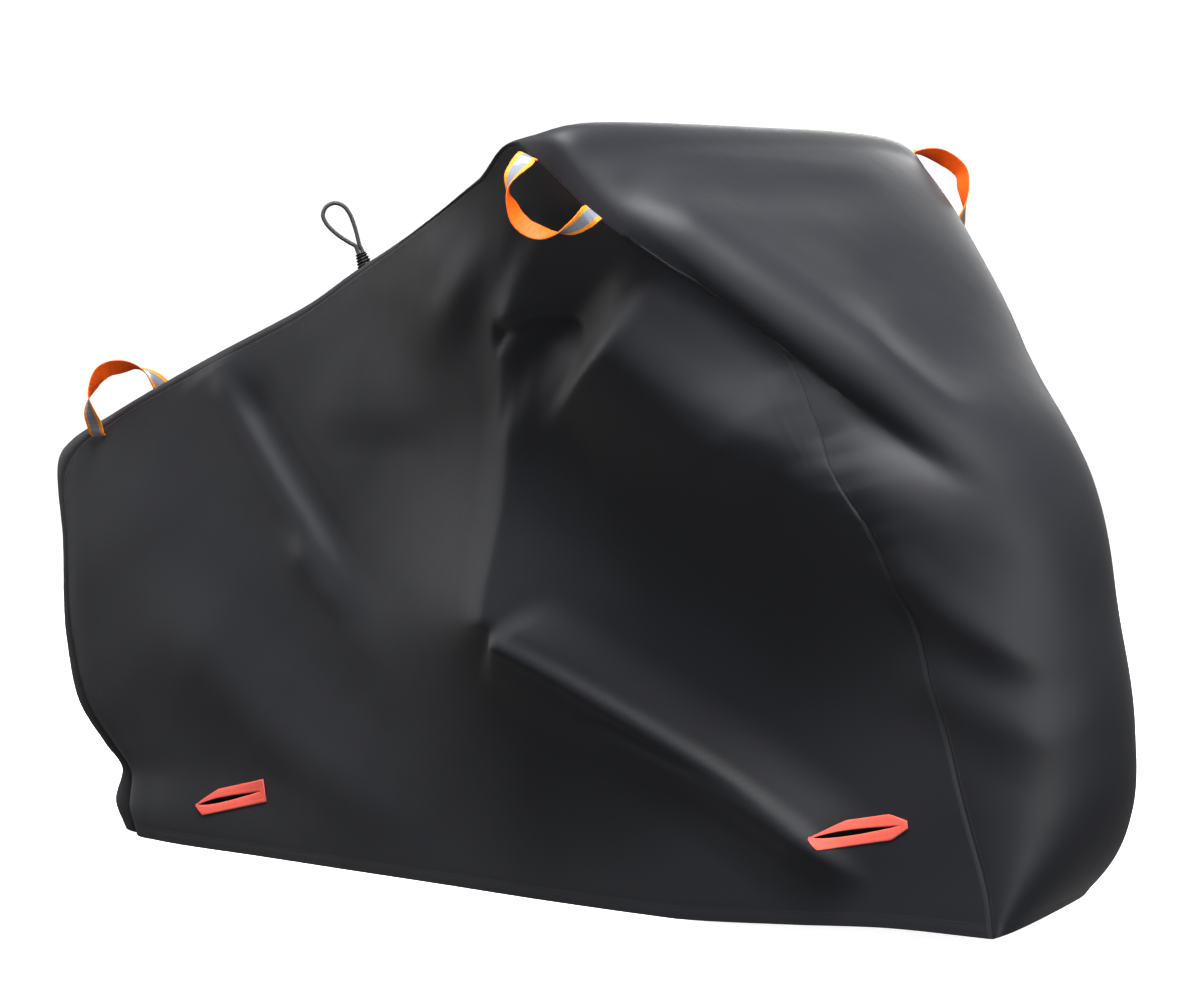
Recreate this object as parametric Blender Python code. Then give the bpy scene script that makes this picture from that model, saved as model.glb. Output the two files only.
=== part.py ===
"""Bicycle cover, draped as it hangs over a bicycle that is left out: three cloth panels, grab loops,
bound lock slots and an elastic cord loop.

Metres, +Z up. +X points to the front wheel, -Y is the right-hand side, the floor is at z = 0.
"""
import math

import bpy
import numpy as np
from mathutils import Matrix, Vector
from mathutils.bvhtree import BVHTree

# ---- driving dimensions -------------------------------------------------------------------------
CLOTH = 0.002                # thickness of the coated cloth with its seam allowances
GAP = 0.0004                 # clear space between pieces that touch
SEAT = 0.0013                # sewn-on strips above the facets of the cloth
PANEL_CELLS = (52, 22)       # cells of a side panel, along and up
CENTRE_CELLS = 8             # cells across the centre panel
QUARTER = math.radians(41.0) # the front right quarter, from which the right-hand folds are seen
WEBBING = (0.025, 0.0016)    # grab loop's strap, width and thickness
BINDING = 0.0015             # thickness of the strip around a lock slot
CORD = 0.005                 # diameter of the elastic cord
KNOT = (0.0115, 0.0075, 0.021, 5)  # wrapped knot: base and top radius, height, turns
KNOT_SIDES = 16              # points around the knot
KNOT_RIB = 0.0012            # depth of the grooves between the knot's turns

# Centre panel, from the rear hem over the top to the front hem. Each section has its right-hand seam,
# its left-hand seam, its middle line, and how square it is between them.
CENTRE = (
    # section       right: x      w      z   left: x      w      z  middle: x      z  square
    ("rear hem",     -0.796,  0.054,  0.000,  -0.796,  0.054,  0.000,  -0.852,  0.004,  2.2),
    ("hem flap",     -0.812,  0.054,  0.036,  -0.812,  0.054,  0.036,  -0.876,  0.042,  2.2),
    ("hem notch",    -0.818,  0.046,  0.092,  -0.818,  0.046,  0.092,  -0.864,  0.096,  2.2),
    ("over notch",   -0.852,  0.046,  0.128,  -0.852,  0.046,  0.128,  -0.900,  0.128,  2.2),
    ("tail foot",    -0.912,  0.046,  0.190,  -0.912,  0.046,  0.190,  -0.958,  0.190,  2.2),
    ("tail low",     -0.948,  0.044,  0.290,  -0.948,  0.044,  0.290,  -0.986,  0.290,  2.2),
    ("tail high",    -0.956,  0.042,  0.440,  -0.956,  0.042,  0.440,  -0.986,  0.440,  2.2),
    ("tail top",     -0.962,  0.042,  0.555,  -0.962,  0.042,  0.555,  -1.000,  0.577,  2.3),
    ("tail corner",  -0.932,  0.044,  0.586,  -0.932,  0.044,  0.586,  -0.970,  0.600,  2.4),
    ("tail deck",    -0.860,  0.046,  0.626,  -0.860,  0.046,  0.626,  -0.880,  0.640,  2.4),
    ("rack",         -0.620,  0.050,  0.728,  -0.620,  0.050,  0.728,  -0.630,  0.745,  2.4),
    ("saddle back",  -0.420,  0.062,  0.805,  -0.420,  0.062,  0.805,  -0.425,  0.822,  2.6),
    ("saddle",       -0.330,  0.078,  0.846,  -0.330,  0.078,  0.846,  -0.335,  0.862,  2.8),
    ("behind bar",   -0.100,  0.182,  0.922,  -0.100,  0.182,  0.918,  -0.110,  0.930,  3.0),
    ("rear deck",     0.140,  0.298,  0.995,   0.140,  0.298,  0.985,   0.110,  0.998,  3.0),
    ("grip",          0.295,  0.384,  1.038,   0.295,  0.384,  1.016,   0.285,  1.046,  3.6),
    ("bar end",       0.340,  0.386,  1.008,   0.340,  0.386,  0.990,   0.345,  1.070,  5.5),
    ("bar front",     0.398,  0.362,  0.952,   0.402,  0.375,  0.954,   0.405,  1.043,  3.6),
    ("front deck",    0.523,  0.302,  0.852,   0.530,  0.309,  0.878,   0.535,  0.936,  2.7),
    ("deck end",      0.628,  0.236,  0.748,   0.636,  0.234,  0.772,   0.706,  0.788,  2.4),
    ("wheel top",     0.678,  0.192,  0.643,   0.678,  0.182,  0.655,   0.840,  0.672,  2.4),
    ("wheel brow",    0.737,  0.170,  0.521,   0.735,  0.160,  0.525,   0.918,  0.572,  2.2),
    ("wheel front",   0.782,  0.156,  0.385,   0.780,  0.150,  0.385,   0.958,  0.425,  2.1),
    ("wheel nose",    0.822,  0.151,  0.265,   0.816,  0.151,  0.265,   0.984,  0.285,  2.1),
    ("wheel foot",    0.862,  0.151,  0.152,   0.840,  0.148,  0.152,   0.978,  0.165,  2.2),
    ("hem turn",      0.893,  0.155,  0.070,   0.852,  0.134,  0.080,   0.942,  0.088,  2.4),
    ("front hem",     0.905,  0.160,  0.018,   0.845,  0.120,  0.040,   0.900,  0.036,  2.6),
)
TAIL_TOP = [row[0] for row in CENTRE].index("tail top")
GRIP = [row[0] for row in CENTRE].index("grip")

# Hem of the side panels between their corners, which the centre panel gives.
HEM = (
    # place            x  half w      z
    ("flap",        -0.770,  0.078,  0.000),
    ("rear wheel",  -0.700,  0.098,  0.000),
    ("chain stay",  -0.450,  0.124,  0.000),
    ("pedals",      -0.100,  0.158,  0.000),
    ("frame",        0.200,  0.188,  0.000),
    ("down tube",    0.400,  0.198,  0.000),
    ("front wheel",  0.600,  0.188,  0.010),
    ("lift",         0.740,  0.174,  0.018),
)


# Folds, as seen square on from the front right quarter (right and centre panel) or from the rear left
# one (left and centre panel): a straight fold from start to end, across and height, bowed sideways by
# "bow". It stands out by "out" (a trough is negative) and falls to nothing at "left" and "right" of
# the way from start to end. Its line is sharp from 0, round, to 1, creased. "in" and "fade" are the
# shares of its length over which it rises at the start and dies away at the end.
RIGHT_FOLDS = {
    # fold              start across, z  end across, z     bow  left  right    out  sharp   in  fade
    "pedal push":      (-0.013, 0.385,  0.005, 0.365,  0.000, 0.30, 0.34,  0.068, 0.60, 0.00, 0.00),
    "grip crest":      (-0.030, 1.000, -0.013, 0.390,  0.000, 0.10, 0.24,  0.030, 0.90, 0.15, 0.00),
    "pedal ridge":     (-0.013, 0.374,  0.435, 0.075, -0.006, 0.08, 0.07,  0.026, 0.50, 0.02, 0.20),
    "frame hollow":    ( 0.240, 0.740,  0.420, 0.340,  0.000, 0.14, 0.32, -0.034, 0.00, 0.20, 0.20),
    "seam groove":     ( 0.080, 0.955,  0.610, 0.540, -0.012, 0.08, 0.08, -0.016, 0.20, 0.15, 0.35),
    "groove ridge":    ( 0.240, 0.750,  0.590, 0.500, -0.006, 0.05, 0.09,  0.014, 0.20, 0.40, 0.40),
    "strap ridge":      ( 0.000, 0.950,  0.250, 0.720,  0.012, 0.08, 0.13,  0.026, 0.30, 0.10, 0.60),
    "under bar":       ( 0.060, 1.010,  0.470, 0.985,  0.000, 0.03, 0.05, -0.006, 0.00, 0.20, 0.20),
    "deck band":       ( 0.100, 0.975,  0.560, 0.700, -0.008, 0.10, 0.09,  0.014, 0.10, 0.20, 0.30),
    "deck hollow":     ( 0.380, 0.890,  0.600, 0.735,  0.000, 0.12, 0.08, -0.010, 0.10, 0.30, 0.30),
    "wheel ridge":     ( 0.450, 0.510,  0.700, 0.340, -0.015, 0.09, 0.05,  0.018, 0.60, 0.00, 0.45),
    "wheel soft fold": ( 0.470, 0.370,  0.715, 0.250, -0.010, 0.08, 0.07,  0.010, 0.20, 0.00, 0.35),
    "rear flank fold": (-0.515, 0.730, -0.235, 0.330, -0.010, 0.05, 0.06,  0.012, 0.50, 0.00, 0.35),
    "rear flank dip":  (-0.475, 0.725, -0.200, 0.330, -0.012, 0.05, 0.03, -0.010, 0.30, 0.00, 0.35),
    "rear short fold": (-0.400, 0.500, -0.240, 0.270,  0.000, 0.03, 0.05,  0.008, 0.70, 0.30, 0.40),
    "saddle edge":     (-0.380, 0.668, -0.110, 0.682,  0.000, 0.14, 0.07,  0.007, 0.30, 0.40, 0.40),
    "grip to saddle":  (-0.055, 1.010, -0.185, 0.720,  0.012, 0.05, 0.12,  0.012, 0.30, 0.10, 0.50),
    "rear wheel fall": (-0.620, 0.430, -0.130, 0.050, -0.050, 0.11, 0.12,  0.018, 0.10, 0.30, 0.35),
    "rear wheel":      (-0.640, 0.430, -0.560, 0.320,  0.000, 0.20, 0.20,  0.020, 0.00, 0.00, 0.00),
}
LEFT_FOLDS = {
    # fold              start across, z  end across, z     bow  left  right    out  sharp   in  fade
    "pedal push":      (-0.095, 0.280, -0.070, 0.260,  0.000, 0.36, 0.36,  0.090, 0.40, 0.00, 0.00),
    "grip crest":      (-0.440, 0.950, -0.120, 0.310,  0.020, 0.12, 0.12,  0.028, 0.60, 0.25, 0.05),
    "pedal ridge":     (-0.075, 0.270,  0.430, 0.085,  0.012, 0.08, 0.06,  0.026, 0.80, 0.05, 0.25),
    "frame hollow":    (-0.480, 0.560, -0.360, 0.340,  0.000, 0.18, 0.18, -0.028, 0.00, 0.00, 0.00),
    "rear flank fold": ( 0.330, 0.620,  0.080, 0.330, -0.015, 0.06, 0.05,  0.020, 0.60, 0.15, 0.25),
    "saddle fall":     ( 0.170, 0.780,  0.000, 0.480,  0.012, 0.07, 0.06,  0.018, 0.50, 0.15, 0.30),
    "wheel ridge":     (-0.600, 0.560, -0.560, 0.220, -0.015, 0.06, 0.06,  0.018, 0.50, 0.20, 0.30),
    "tail fall":       ( 0.610, 0.440,  0.380, 0.120,  0.020, 0.08, 0.07,  0.018, 0.30, 0.20, 0.25),
}

# Lock slots in the right-hand panel, near its hem: the binding's middle, size, turn and blunt end.
SLOTS = {
    #                 x      z   length  height  turn deg  blunt end
    "rear_slot":  (-0.536, 0.080, 0.158, 0.034,   13.0,    1.00),
    "front_slot": ( 0.700, 0.142, 0.138, 0.036,   11.0,    0.40),
}
SLIT = (0.80, 0.0105)        # a slit's share of its binding's length, and its greatest height
SLOT_POINTS = 40

# Grab loops: where the strap's two ends are sewn on, the way the loop hangs or stands, the direction
# of the seam, and how far it reaches against the table below.
LOOPS = {
    #             start x, y, z             end x, y, z
    #             hangs x, y, z             seam x, y, z           reach
    "right_loop": ((0.312, -0.386, 1.024), (0.396, -0.364, 0.950),
                   (-0.45, -0.25, -0.86), (0.74, 0.19, -0.65), 1.00),
    "left_loop":  ((0.305, 0.386, 1.010), (0.455, 0.349, 0.922),
                   (0.27, 0.46, 0.84), (0.84, -0.21, -0.49), 1.00),
    "tail_loop":  ((-0.905, -0.050, 0.598), (-0.840, 0.052, 0.626),
                   (0.00, 0.00, 1.00), (0.90, 0.00, 0.42), 1.05),
}
STRAP = (
    # along  out    hang    width towards: seam  out  hang
    (0.000, 0.000, 0.000,   1.00,  0.00,  0.00),
    (0.000, 0.005, 0.020,   0.95,  0.30,  0.00),
    (0.030, 0.014, 0.038,   0.40,  0.92,  0.00),
    (0.100, 0.022, 0.054,  -0.10,  0.95,  0.30),
    (0.220, 0.026, 0.067,  -0.15,  0.75,  0.65),
    (0.380, 0.028, 0.076,   0.00,  0.60,  0.80),
    (0.550, 0.028, 0.076,   0.05,  0.60,  0.80),
    (0.700, 0.026, 0.068,   0.10,  0.75,  0.65),
    (0.830, 0.020, 0.054,   0.05,  0.97,  0.20),
    (0.940, 0.012, 0.036,  -0.45,  0.85, -0.10),
    (1.000, 0.005, 0.019,  -0.95,  0.30,  0.00),
    (1.000, 0.000, 0.000,  -1.00,  0.00,  0.00),
)

# Elastic cord loop on the ridge in front of the saddle: x and y of its knot, and the cord's route,
# across (towards the front left quarter) and up from the middle of the knot's top.
KNOT_PLACE = (-0.300, -0.045)
CORD_ROUTE = (
    (-0.0066, 0.0090), (-0.0160, 0.0150), (-0.0280, 0.0225), (-0.0400, 0.0320), (-0.0500, 0.0430),
    (-0.0548, 0.0548), (-0.0500, 0.0668), (-0.0372, 0.0725), (-0.0252, 0.0685), (-0.0163, 0.0577),
    (-0.0105, 0.0440), (-0.0065, 0.0310), (-0.0035, 0.0190), (-0.0012, 0.0100),
)


# ---- curves and grids ---------------------------------------------------------------------------
def lengths(points):
    """Distance along a polyline at each of its points, starting at 0."""
    return np.concatenate(([0.0], np.cumsum(np.linalg.norm(np.diff(points, axis=0), axis=1))))


def spline(knots, values, where):
    """Smooth curve through the values: a cubic between knots, whose slope at a knot is the mean of
    the slopes beside it, weighted towards the shorter side."""
    knots, values = np.asarray(knots, float), np.asarray(values, float)
    step = np.diff(knots)
    slope = np.diff(values, axis=0) / step[:, None]
    inner = (slope[:-1] * step[1:, None] + slope[1:] * step[:-1, None]) / (step[:-1] + step[1:])[:, None]
    tangent = np.concatenate((slope[:1], inner, slope[-1:]))
    i = np.clip(np.searchsorted(knots, where, side="right") - 1, 0, len(step) - 1)
    h = step[i][:, None]
    t = (np.asarray(where) - knots[i])[:, None] / h
    return (values[i] * (1 + 2 * t) * (1 - t) ** 2 + tangent[i] * h * t * (1 - t) ** 2
            + values[i + 1] * t * t * (3 - 2 * t) + tangent[i + 1] * h * t * t * (t - 1))


def smooth(t):
    """0 to 1 with level ends."""
    t = np.clip(t, 0.0, 1.0)
    return t * t * (3 - 2 * t)


def unit(vectors):
    """Vectors of length 1."""
    return vectors / np.maximum(np.linalg.norm(vectors, axis=-1, keepdims=True), 1e-12)


def grid_normals(points):
    """Normals of a grid: cross product of its two central differences."""
    return unit(np.cross(np.gradient(points, axis=0), np.gradient(points, axis=1)))


# ---- the cover's surface ------------------------------------------------------------------------
def centre_sections(along, up):
    """The centre panel's sections, sampled evenly in three runs: tail seam, ridge, front seam."""
    rows = np.array([row[1:] for row in CENTRE])
    knots = lengths(rows[:, :3])
    runs = (np.linspace(0.0, knots[TAIL_TOP], up + 1),
            np.linspace(knots[TAIL_TOP], knots[GRIP], along + 1)[1:],
            np.linspace(knots[GRIP], knots[-1], up + 1)[1:])
    return spline(knots, rows, np.concatenate(runs)).T[:, :, None]


def centre_surface(along, up, across):
    """Each section is a squared half ellipse from seam to seam that passes through the middle line:
    its rise at share s of the half width is (1 - s^n)^(1/n)."""
    right_x, right_w, right_z, left_x, left_w, left_z, mid_x, mid_z, n = centre_sections(along, up)
    share = np.sin(np.linspace(-0.5 * math.pi, 0.5 * math.pi, across + 1))[None, :]
    rise = (1 - np.abs(share) ** n) ** (1 / n)
    t = (share + 1) / 2
    chord_x = right_x + (left_x - right_x) * t
    chord_z = right_z + (left_z - right_z) * t
    return np.stack((chord_x + (mid_x - (right_x + left_x) / 2) * rise,
                     -right_w + (left_w + right_w) * t,
                     chord_z + (mid_z - (right_z + left_z) / 2) * rise), axis=-1)


def side_surface(border, along, up, hand):
    """A side panel hangs straight from the ridge to the hem. Near its tail and front seams it bends to
    meet them: their distance from those straight lines is added, and dies away as the cube of the way
    to the opposite seam."""
    tail, ridge, front = border[:up + 1], border[up:up + along + 1], border[up + along:][::-1]
    hem = np.array([(x, hand * half, z) for _, x, half, z in HEM])
    hem = np.concatenate((tail[:1], hem, front[:1]))
    knots = lengths(hem)
    low = spline(knots, hem, np.linspace(0.0, knots[-1], along + 1))
    u = np.linspace(0.0, 1.0, along + 1)[:, None, None]
    v = np.linspace(0.0, 1.0, up + 1)[None, :, None]
    straight = (1 - v) * low[:, None] + v * ridge[:, None]
    return straight + (1 - u) ** 3 * (tail - straight[0]) + u ** 3 * (front - straight[-1])


def seam_indices(along, up):
    """Grid indices of a side panel's tail, ridge and front borders, in the centre panel's order."""
    i = np.concatenate((np.zeros(up + 1, int), np.arange(1, along + 1), np.full(up, along)))
    j = np.concatenate((np.arange(up + 1), np.full(along, up), np.arange(up - 1, -1, -1)))
    return i, j


def shared_normals(right, centre, left):
    """Outward normals of the three grids. Along a seam both panels get the mean of their normals."""
    normals = [grid_normals(right), grid_normals(centre), -grid_normals(left)]
    seam = seam_indices(right.shape[0] - 1, right.shape[1] - 1)
    for side, column in ((0, 0), (2, -1)):
        mean = unit(normals[side][seam] + normals[1][:, column])
        normals[side][seam] = mean
        normals[1][:, column] = mean
    return normals


def relief(points, normals, folds, quarter):
    """How far the folds stand out at each point. A fold falls from its line to its foot as the cube
    smoothstep of the distance (round) or its square (creased), and only shows on cloth that faces
    the quarter it is seen from."""
    across = points[..., 0] * math.cos(quarter) + points[..., 1] * math.sin(quarter)
    facing = smooth((normals[..., 0] * math.sin(quarter) - normals[..., 1] * math.cos(quarter)) / 0.3)
    total = np.zeros(across.shape)
    for x0, z0, x1, z1, bow, left, right, out, sharp, rise, fade in folds.values():
        span = math.hypot(x1 - x0, z1 - z0)
        tx, tz = (x1 - x0) / span, (z1 - z0) / span
        s = np.clip(((across - x0) * tx + (points[..., 2] - z0) * tz) / span, 0.0, 1.0)
        bend = 4 * bow * s * (1 - s)
        dx = across - x0 - tx * span * s + tz * bend
        dz = points[..., 2] - z0 - tz * span * s - tx * bend
        away = np.maximum(np.hypot(dx, dz), 1e-9)
        reach = (left + right) / 2 + (left - right) / 2 * (dz * tx - dx * tz) / away
        share = np.clip(1 - away / reach, 0.0, 1.0)
        shape = (1 - sharp) * smooth(share) + sharp * share ** 2
        ends = smooth(s / rise if rise else 1.0) * smooth((1 - s) / fade if fade else 1.0)
        total += out * shape * ends
    return total * facing


def cover(along, up, across):
    """The three panels' outer surfaces as grids with their outward normals, folds included."""
    centre = centre_surface(along, up, across)
    panels = [side_surface(centre[:, 0], along, up, -1), centre, side_surface(centre[:, -1], along, up, 1)]
    normals = shared_normals(*panels)
    for points, normal in zip(panels, normals):
        push = (relief(points, normal, RIGHT_FOLDS, QUARTER)
                + relief(points, normal, LEFT_FOLDS, QUARTER + math.pi))
        points += push[..., None] * normal
        points[..., 2] = np.maximum(points[..., 2], 0.0)
    return panels, shared_normals(*panels)


# ---- solids -------------------------------------------------------------------------------------
def finish(name, colour, roughness):
    """Material with a linear base colour."""
    material = bpy.data.materials.new(name)
    material.use_nodes = True
    shader = material.node_tree.nodes["Principled BSDF"]
    shader.inputs["Base Color"].default_value = (*colour, 1.0)
    shader.inputs["Roughness"].default_value = roughness
    material.diffuse_color = (*colour, 1.0)
    return material


def solid(name, vertices, faces, material, crease_deg=40.0):
    """Closed mesh as an object in the scene, smooth but for edges sharper than crease_deg."""
    mesh = bpy.data.meshes.new(name)
    mesh.from_pydata([tuple(vertex) for vertex in vertices], [], faces)
    mesh.shade_smooth()
    mesh.set_sharp_from_angle(angle=math.radians(crease_deg))
    mesh.materials.append(material)
    thing = bpy.data.objects.new(name, mesh)
    bpy.context.collection.objects.link(thing)
    return thing


def pull_seam(points, normals, where, sign):
    """Move a seam's points half a gap away from it, towards this panel."""
    seam = points[where]
    points[where] = seam + sign * GAP / 2 * unit(np.cross(np.gradient(seam, axis=0), normals[where]))


def sheet_faces(outer, inner, rows, columns, flip):
    """Faces of a closed sheet from a grid's outer points and its inner ones: two triangles a cell on
    the shorter diagonal, the same on both sides, and a rim of quads."""
    def corner(i, j):
        return i * columns + j
    back = rows * columns
    faces = []
    for i in range(rows - 1):
        for j in range(columns - 1):
            a, b, c, d = corner(i, j), corner(i + 1, j), corner(i + 1, j + 1), corner(i, j + 1)
            if np.linalg.norm(outer[a] - outer[c]) < np.linalg.norm(outer[b] - outer[d]):
                pair = ((a, b, c), (a, c, d))
            else:
                pair = ((a, b, d), (b, c, d))
            faces += pair
            faces += [tuple(back + k for k in reversed(face)) for face in pair]
    rim = ([corner(i, 0) for i in range(rows)] + [corner(rows - 1, j) for j in range(1, columns)]
           + [corner(i, columns - 1) for i in range(rows - 2, -1, -1)]
           + [corner(0, j) for j in range(columns - 2, 0, -1)])
    faces += [(q, p, p + back, q + back) for p, q in zip(rim, rim[1:] + rim[:1])]
    return [tuple(reversed(face)) for face in faces] if flip else faces


def panel(name, points, normals, flip, material):
    """Cloth panel: the grid as its outer face, and the same grid one cloth thickness inside."""
    outer = points.reshape(-1, 3)
    inner = outer - CLOTH * normals.reshape(-1, 3)
    for side in (outer, inner):
        side[:, 2] = np.maximum(side[:, 2], 0.0)
    faces = sheet_faces(outer, inner, points.shape[0], points.shape[1], flip)
    return solid(name, np.concatenate((outer, inner)), faces, material)


def outer_tree(panels):
    """Search tree over the outer faces of some cloth panels: those with all their corners in the
    first half of the vertices."""
    vertices, faces = [], []
    for thing in panels:
        first, outer = len(vertices), len(thing.data.vertices) // 2
        vertices += [vertex.co for vertex in thing.data.vertices]
        faces += [[first + k for k in face.vertices] for face in thing.data.polygons
                  if max(face.vertices) < outer]
    return BVHTree.FromPolygons(vertices, faces)


def cut(thing, cutter):
    """Cut one object out of another and keep only the result."""
    boolean = thing.modifiers.new("cut", "BOOLEAN")
    boolean.operation = "DIFFERENCE"
    boolean.solver = "EXACT"
    boolean.object = cutter
    graph = bpy.context.evaluated_depsgraph_get()
    mesh = bpy.data.meshes.new_from_object(thing.evaluated_get(graph))
    thing.modifiers.remove(boolean)
    thing.data = mesh
    bpy.data.objects.remove(cutter, do_unlink=True)


def clearance(below, point):
    """Signed distance of a point from the cloth, and the cloth's outward normal there."""
    hit, normal, _, _ = below.find_nearest(Vector(point))
    normal = np.array(normal)
    return float((point - np.array(hit)) @ normal), normal


def lay(below, x, z):
    """The place on the right-hand cloth in front of x and z."""
    hit, _, _, _ = below.ray_cast(Vector((x, -1.0, z)), Vector((0.0, 1.0, 0.0)))
    return np.array(hit)


def slot_outlines(x, z, length, height, turn_deg, blunt):
    """A slot's binding and its slit as two outlines in x and z. From a tip at the left both rise fast
    and then run level: the lower edge is flatter. The binding's right end is cut off as far as it is
    blunt."""
    phi = (np.arange(SLOT_POINTS) + 0.5) * 2 * math.pi / SLOT_POINTS
    share = (1 - np.cos(phi)) / 2
    side = np.where(phi < math.pi, 1.0, -1.0)
    hump = np.sin(math.pi * share ** 0.65)
    full = np.minimum(1.0, 2.6 * share ** 0.8) * (blunt + (1 - blunt) * np.minimum(1.0, 2.2 * (1 - share)))
    turn = math.radians(turn_deg)
    outlines = []
    for along, across in (((share - 0.5) * length, side * height / 2 * np.maximum(full, 0.12)),
                          ((share - 0.52) * length * SLIT[0], side * SLIT[1] / 2 * np.maximum(hump, 0.06))):
        outlines.append(np.stack((x + along * math.cos(turn) - across * math.sin(turn),
                                  z + along * math.sin(turn) + across * math.cos(turn)), axis=-1))
    return outlines


def slot(name, row, cloth, below, material):
    """Cut a slit through the cloth and lay its binding, a flat ring, on the cloth around it."""
    rim, slit = slot_outlines(*row)
    count = len(slit)
    ends = [(px, y, pz) for y in (-0.5, -0.02) for px, pz in slit]
    walls = [(k, (k + 1) % count, count + (k + 1) % count, count + k) for k in range(count)]
    caps = [tuple(reversed(range(count))), tuple(range(count, 2 * count))]
    cutter = solid(name + " cutter", ends, walls + caps, material)
    cutter.hide_render = True
    cutter.display_type = "WIRE"
    cut(cloth, cutter)
    middle = (rim + slit) / 2
    rings = np.array([[lay(below, px, pz) for px, pz in outline] for outline in (rim, middle, slit)])
    between = (rings + np.roll(rings, -1, axis=1)) / 2
    across = (np.concatenate((rings[:-1], between[:-1])) + np.concatenate((rings[1:], between[1:]))) / 2
    probes = np.concatenate([row.reshape(-1, 3) for row in (rings, between, across)])
    close = min(clearance(below, place)[0] for place in probes)
    rings[..., 1] -= GAP - close
    top = rings - np.array((0.0, BINDING, 0.0))
    rings = (rings[0], top[0], top[1], top[2], rings[2], rings[1])
    faces = [(count * b + k, count * b + (k + 1) % count, count * a + (k + 1) % count, count * a + k)
             for a, b in zip(range(6), (1, 2, 3, 4, 5, 0)) for k in range(count)]
    return solid(name, [point for ring in rings for point in ring], faces, material)


def loop(name, row, below, material):
    """Grab loop: a closed ribbon whose middle line and width direction come from the strap's table.
    Its ends are laid on the cloth, and what lies between is pushed clear of it. Both broad faces are
    halved along like diagonals, so the strap keeps its thickness where it twists."""
    start, end, hang, seam, reach = [np.array(value, float) for value in row]
    hang, seam = unit(hang), unit(seam)
    out = unit(np.cross(hang, seam))
    rows = np.array(STRAP)
    line = (start + rows[:, :1] * (end - start)
            + reach * (rows[:, 1:2] * out + rows[:, 2:3] * hang))
    wide = rows[:, 3:4] * seam + rows[:, 4:5] * out + rows[:, 5:6] * hang
    knots = lengths(line)
    where = np.linspace(0.0, knots[-1], 5 * len(rows))
    line, wide = spline(knots, line, where), spline(knots, wide, where)
    half = WEBBING[0] / 2
    need = np.full(len(line), SEAT + WEBBING[1] / 2)
    need[[0, -1]] = GAP + WEBBING[1] / 2
    for _ in range(8):
        tangent = unit(np.gradient(line, axis=0))
        wide = unit(wide - (wide * tangent).sum(axis=-1, keepdims=True) * tangent)
        halfway = (line[:-1] + line[1:]) / 2
        for k, point in enumerate(line):
            near = (point, halfway[max(k - 1, 0)], halfway[min(k, len(halfway) - 1)])
            near = near[:1] if k in (0, len(line) - 1) else near
            found = [clearance(below, place + side * half * wide[k])
                     for place in near for side in np.linspace(-1.0, 1.0, 5)]
            low, normal = min(found, key=lambda pair: pair[0])
            if low < need[k] or k in (0, len(line) - 1):
                line[k] = point + (need[k] - low) * normal
    tangent = unit(np.gradient(line, axis=0))
    wide = unit(wide - (wide * tangent).sum(axis=-1, keepdims=True) * tangent)
    thick = WEBBING[1] / 2 * np.cross(tangent, wide)
    rings = np.stack((line - half * wide - thick, line + half * wide - thick,
                      line + half * wide + thick, line - half * wide + thick), axis=1)
    last = len(line) - 1
    faces = [(3, 2, 1, 0), tuple(4 * last + a for a in range(4))]
    for k in range(0, 4 * last, 4):
        faces += [(k, k + 1, k + 5), (k, k + 5, k + 4), (k + 2, k + 3, k + 6), (k + 3, k + 7, k + 6)]
        faces += [(k + 1, k + 2, k + 6, k + 5), (k + 3, k, k + 4, k + 7)]
    return solid(name, rings.reshape(-1, 3), faces, material)


def knot(below, material):
    """Wrapped knot: a turned cone with a rib for each turn of the wrapping, standing on the ridge.
    Returned with the middle of its top and its axis."""
    base, top, height, turns = KNOT
    hit, axis, _, _ = below.ray_cast(Vector((*KNOT_PLACE, 2.0)), Vector((0.0, 0.0, -1.0)))
    axis = np.array(axis)
    side = unit(np.cross(axis, (0.0, 1.0, 0.0)))
    other = np.cross(axis, side)
    around = np.arange(KNOT_SIDES) * 2 * math.pi / KNOT_SIDES
    spoke = np.cos(around)[:, None] * side + np.sin(around)[:, None] * other
    foot = np.array(hit)
    foot = foot + (GAP + max(-clearance(below, foot + base * way)[0] for way in spoke)) * axis
    share = np.linspace(0.0, 1.0, 4 * turns + 1)
    radius = base + (top - base) * share - KNOT_RIB * np.sin(math.pi * turns * share) ** 2
    points = np.concatenate([foot + height * s * axis + r * spoke for s, r in zip(share, radius)])
    faces = [(KNOT_SIDES * i + k, KNOT_SIDES * i + (k + 1) % KNOT_SIDES,
              KNOT_SIDES * (i + 1) + (k + 1) % KNOT_SIDES, KNOT_SIDES * (i + 1) + k)
             for i in range(len(share) - 1) for k in range(KNOT_SIDES)]
    last = KNOT_SIDES * (len(share) - 1)
    faces += [tuple(reversed(range(KNOT_SIDES))), tuple(range(last, last + KNOT_SIDES))]
    return solid("cord_knot", points, faces, material), foot + height * axis, axis


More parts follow.
